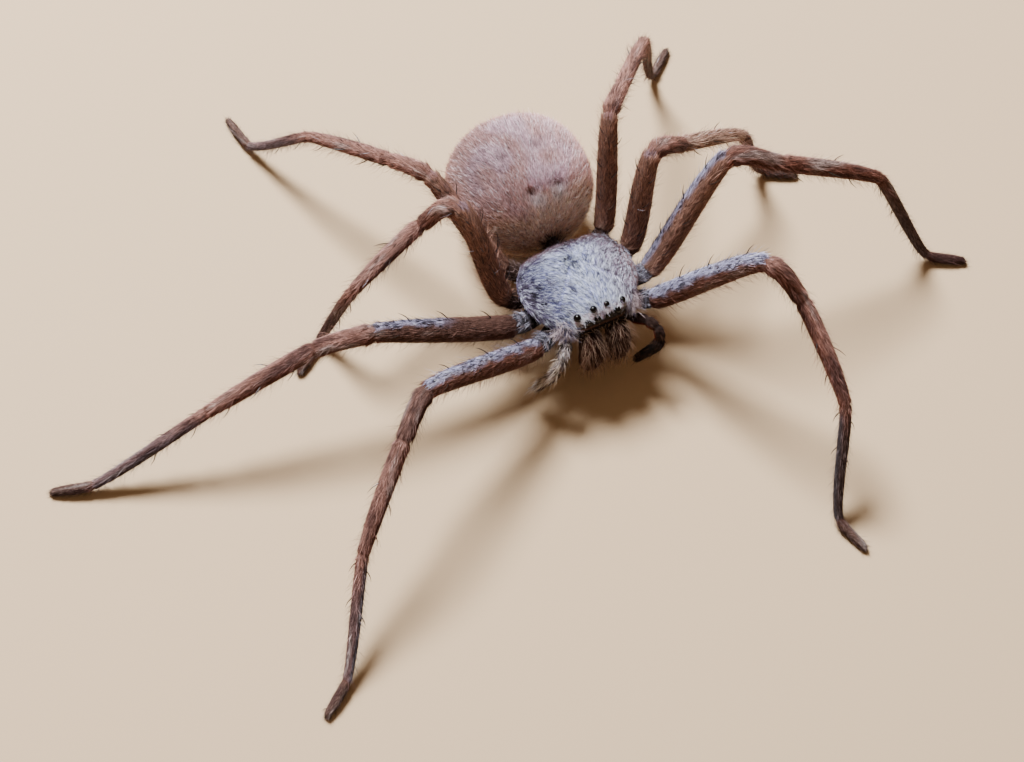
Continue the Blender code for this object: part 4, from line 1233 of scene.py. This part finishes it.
def make_claws(legs):
    """Two small curved claws at the tip of each foot."""
    surfaces = []
    for leg in legs.values():
        tip, way = leg.joints[-1], unit(leg.joints[-1] - leg.joints[-2])
        side = unit(np.cross(way, UP))
        for sign in (1, -1):
            start = tip + way * 0.15 + side * sign * 0.16 + (0, 0, 0.05)
            end = start + way * 0.52 + side * sign * 0.05 - (0, 0, 0.22)
            surfaces.append(tube((start, start + way * 0.32 + (0, 0, 0.02), end), CLAW_RADII, 8, 8))
    claws = join_surfaces("claws", surfaces)
    dress(claws, hard_finish("claw_horn", (16, 11, 10), (50, 34, 28), 3000, 0.3, 0.4))


def make_fangs():
    """Smooth curved fangs that taper to a point."""
    look = hard_finish("fang_horn", (20, 8, 6), (70, 26, 16), 900, 0.22, 0.8)
    for side, sign in SIDES:
        fang = tube(np.array(FANG_PATH) * (1, sign, 1), FANG_RADII, 24, 40, (0.0, 1.0, 0.0))
        obj = join_surfaces(f"fang_{side}_curved", [fang])
        dress(obj, look)
        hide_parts(f"fang_{side}")


def make_eyes(trunk):
    """Smooth round eyes set on the swellings of the carapace: the height and the way out are read from the
    nearest point of its skin, and the middle of an eye lies a little below it."""
    look = hard_finish("eye_lens", (2, 1, 2), (9, 5, 5), 700, 0.12, 0.0)
    settle(look.node_tree.nodes["Principled BSDF"], Specular_IOR_Level=0.3)
    turn = np.linspace(0.02, math.pi - 0.02, 24)
    f, l, u = (trunk.points[..., axis] for axis in range(3))
    for row, forward, out, solid_radius in EYES:
        for side, sign in SIDES:
            away = np.hypot(f - forward, l - sign * out) + 10 * (u < 0.8)
            spot = np.unravel_index(np.argmin(away), away.shape)
            middle, way = trunk.points[spot], trunk.normals[spot]
            radius = solid_radius * EYE_SWELL[side]
            centres = middle - way * EYE_SINK + radius * np.cos(turn)[::-1, None] * way
            ball = Surface(rings_along(centres, radius * np.sin(turn), 32, (0.3, 1.0, 0.2)))
            obj = join_surfaces(f"eye_{row}_{side}_lens", [ball])
            dress(obj, look)
            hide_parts(f"eye_{row}_{side}")


# Floor, light and camera


def make_stage():
    """Plain pale floor, a large soft light from behind the spider, and a faint even fill."""
    mesh = bpy.data.meshes.new("floor")
    mesh.from_pydata([(-2, -2, 0), (2, -2, 0), (2, 2, 0), (-2, 2, 0)], [], [(0, 1, 2, 3)])
    floor = link(bpy.data.objects.new("floor", mesh))
    made, _, shader = finish_nodes("pale_floor")
    settle(shader, Base_Color=(*rgb(200, 171, 136), 1), Roughness=0.9)
    floor.data.materials.append(made)

    world = bpy.data.worlds.new("studio")
    bpy.context.scene.world = world
    world.use_nodes = True
    settle(world.node_tree.nodes["Background"], Color=(1.0, 0.71, 0.48, 1), Strength=0.245)

    lamp = bpy.data.lights.new("window", "AREA")
    lamp.shape, lamp.size, lamp.energy = "DISK", 0.18, 12.0
    lamp.color = (0.93, 0.965, 1.0)
    window = bpy.data.objects.new("window", lamp)
    way = unit(turn_only(LIGHT_FROM))
    window.location = place((0, 0, 0)) + way * LIGHT_AWAY
    window.rotation_mode = "QUATERNION"
    window.rotation_quaternion = Vector(way).to_track_quat("Z", "Y")
    link(window)


def make_camera():
    """The photograph's view: back along heading and elevation, then rolled about the line of sight."""
    back = direction(CAMERA_HEADING, CAMERA_ELEVATION)
    level = unit(np.cross(-back, (0, 0, 1)))
    over = np.cross(level, -back)
    roll = math.radians(CAMERA_ROLL)
    right = level * math.cos(roll) + over * math.sin(roll)
    up = over * math.cos(roll) - level * math.sin(roll)
    axes = turn_only(np.array([right, up, back]))
    data = bpy.data.cameras.new("camera")
    data.lens, data.sensor_width = CAMERA_LENS, 36
    data.clip_start, data.clip_end = 0.01, 10
    camera = bpy.data.objects.new("camera", data)
    matrix = Matrix(axes.T.tolist()).to_4x4()
    matrix.translation = place(CAMERA_PLACE)
    camera.matrix_world = matrix
    bpy.context.scene.camera = link(camera)


trunk, abdomen = make_trunk(), make_abdomen()
tint_trunk(trunk)
tint_abdomen(abdomen)
legs = {key: make_leg(*key) for key in POSE}
for leg in legs.values():
    tint_leg(leg)
mouthparts = make_mouthparts()
tint_mouthparts(mouthparts)
rear = make_rear()

make_skin(trunk, abdomen, legs, mouthparts, rear)
silky_hair = hair_finish("silky_hair", 0.55, 0.12, 0.2)
coat_the_abdomen(abdomen, rear, silky_hair)
coat_the_carapace(trunk, silky_hair)
coat_the_legs(legs, hair_finish("leg_hair", 0.55, 0.08, 0.16))
coat_the_mouthparts(mouthparts, hair_finish("bristle_hair", 0.6, 0.0, 0.06))
make_spines()
make_claws(legs)
make_fangs()
make_eyes(trunk)
make_stage()
make_camera()
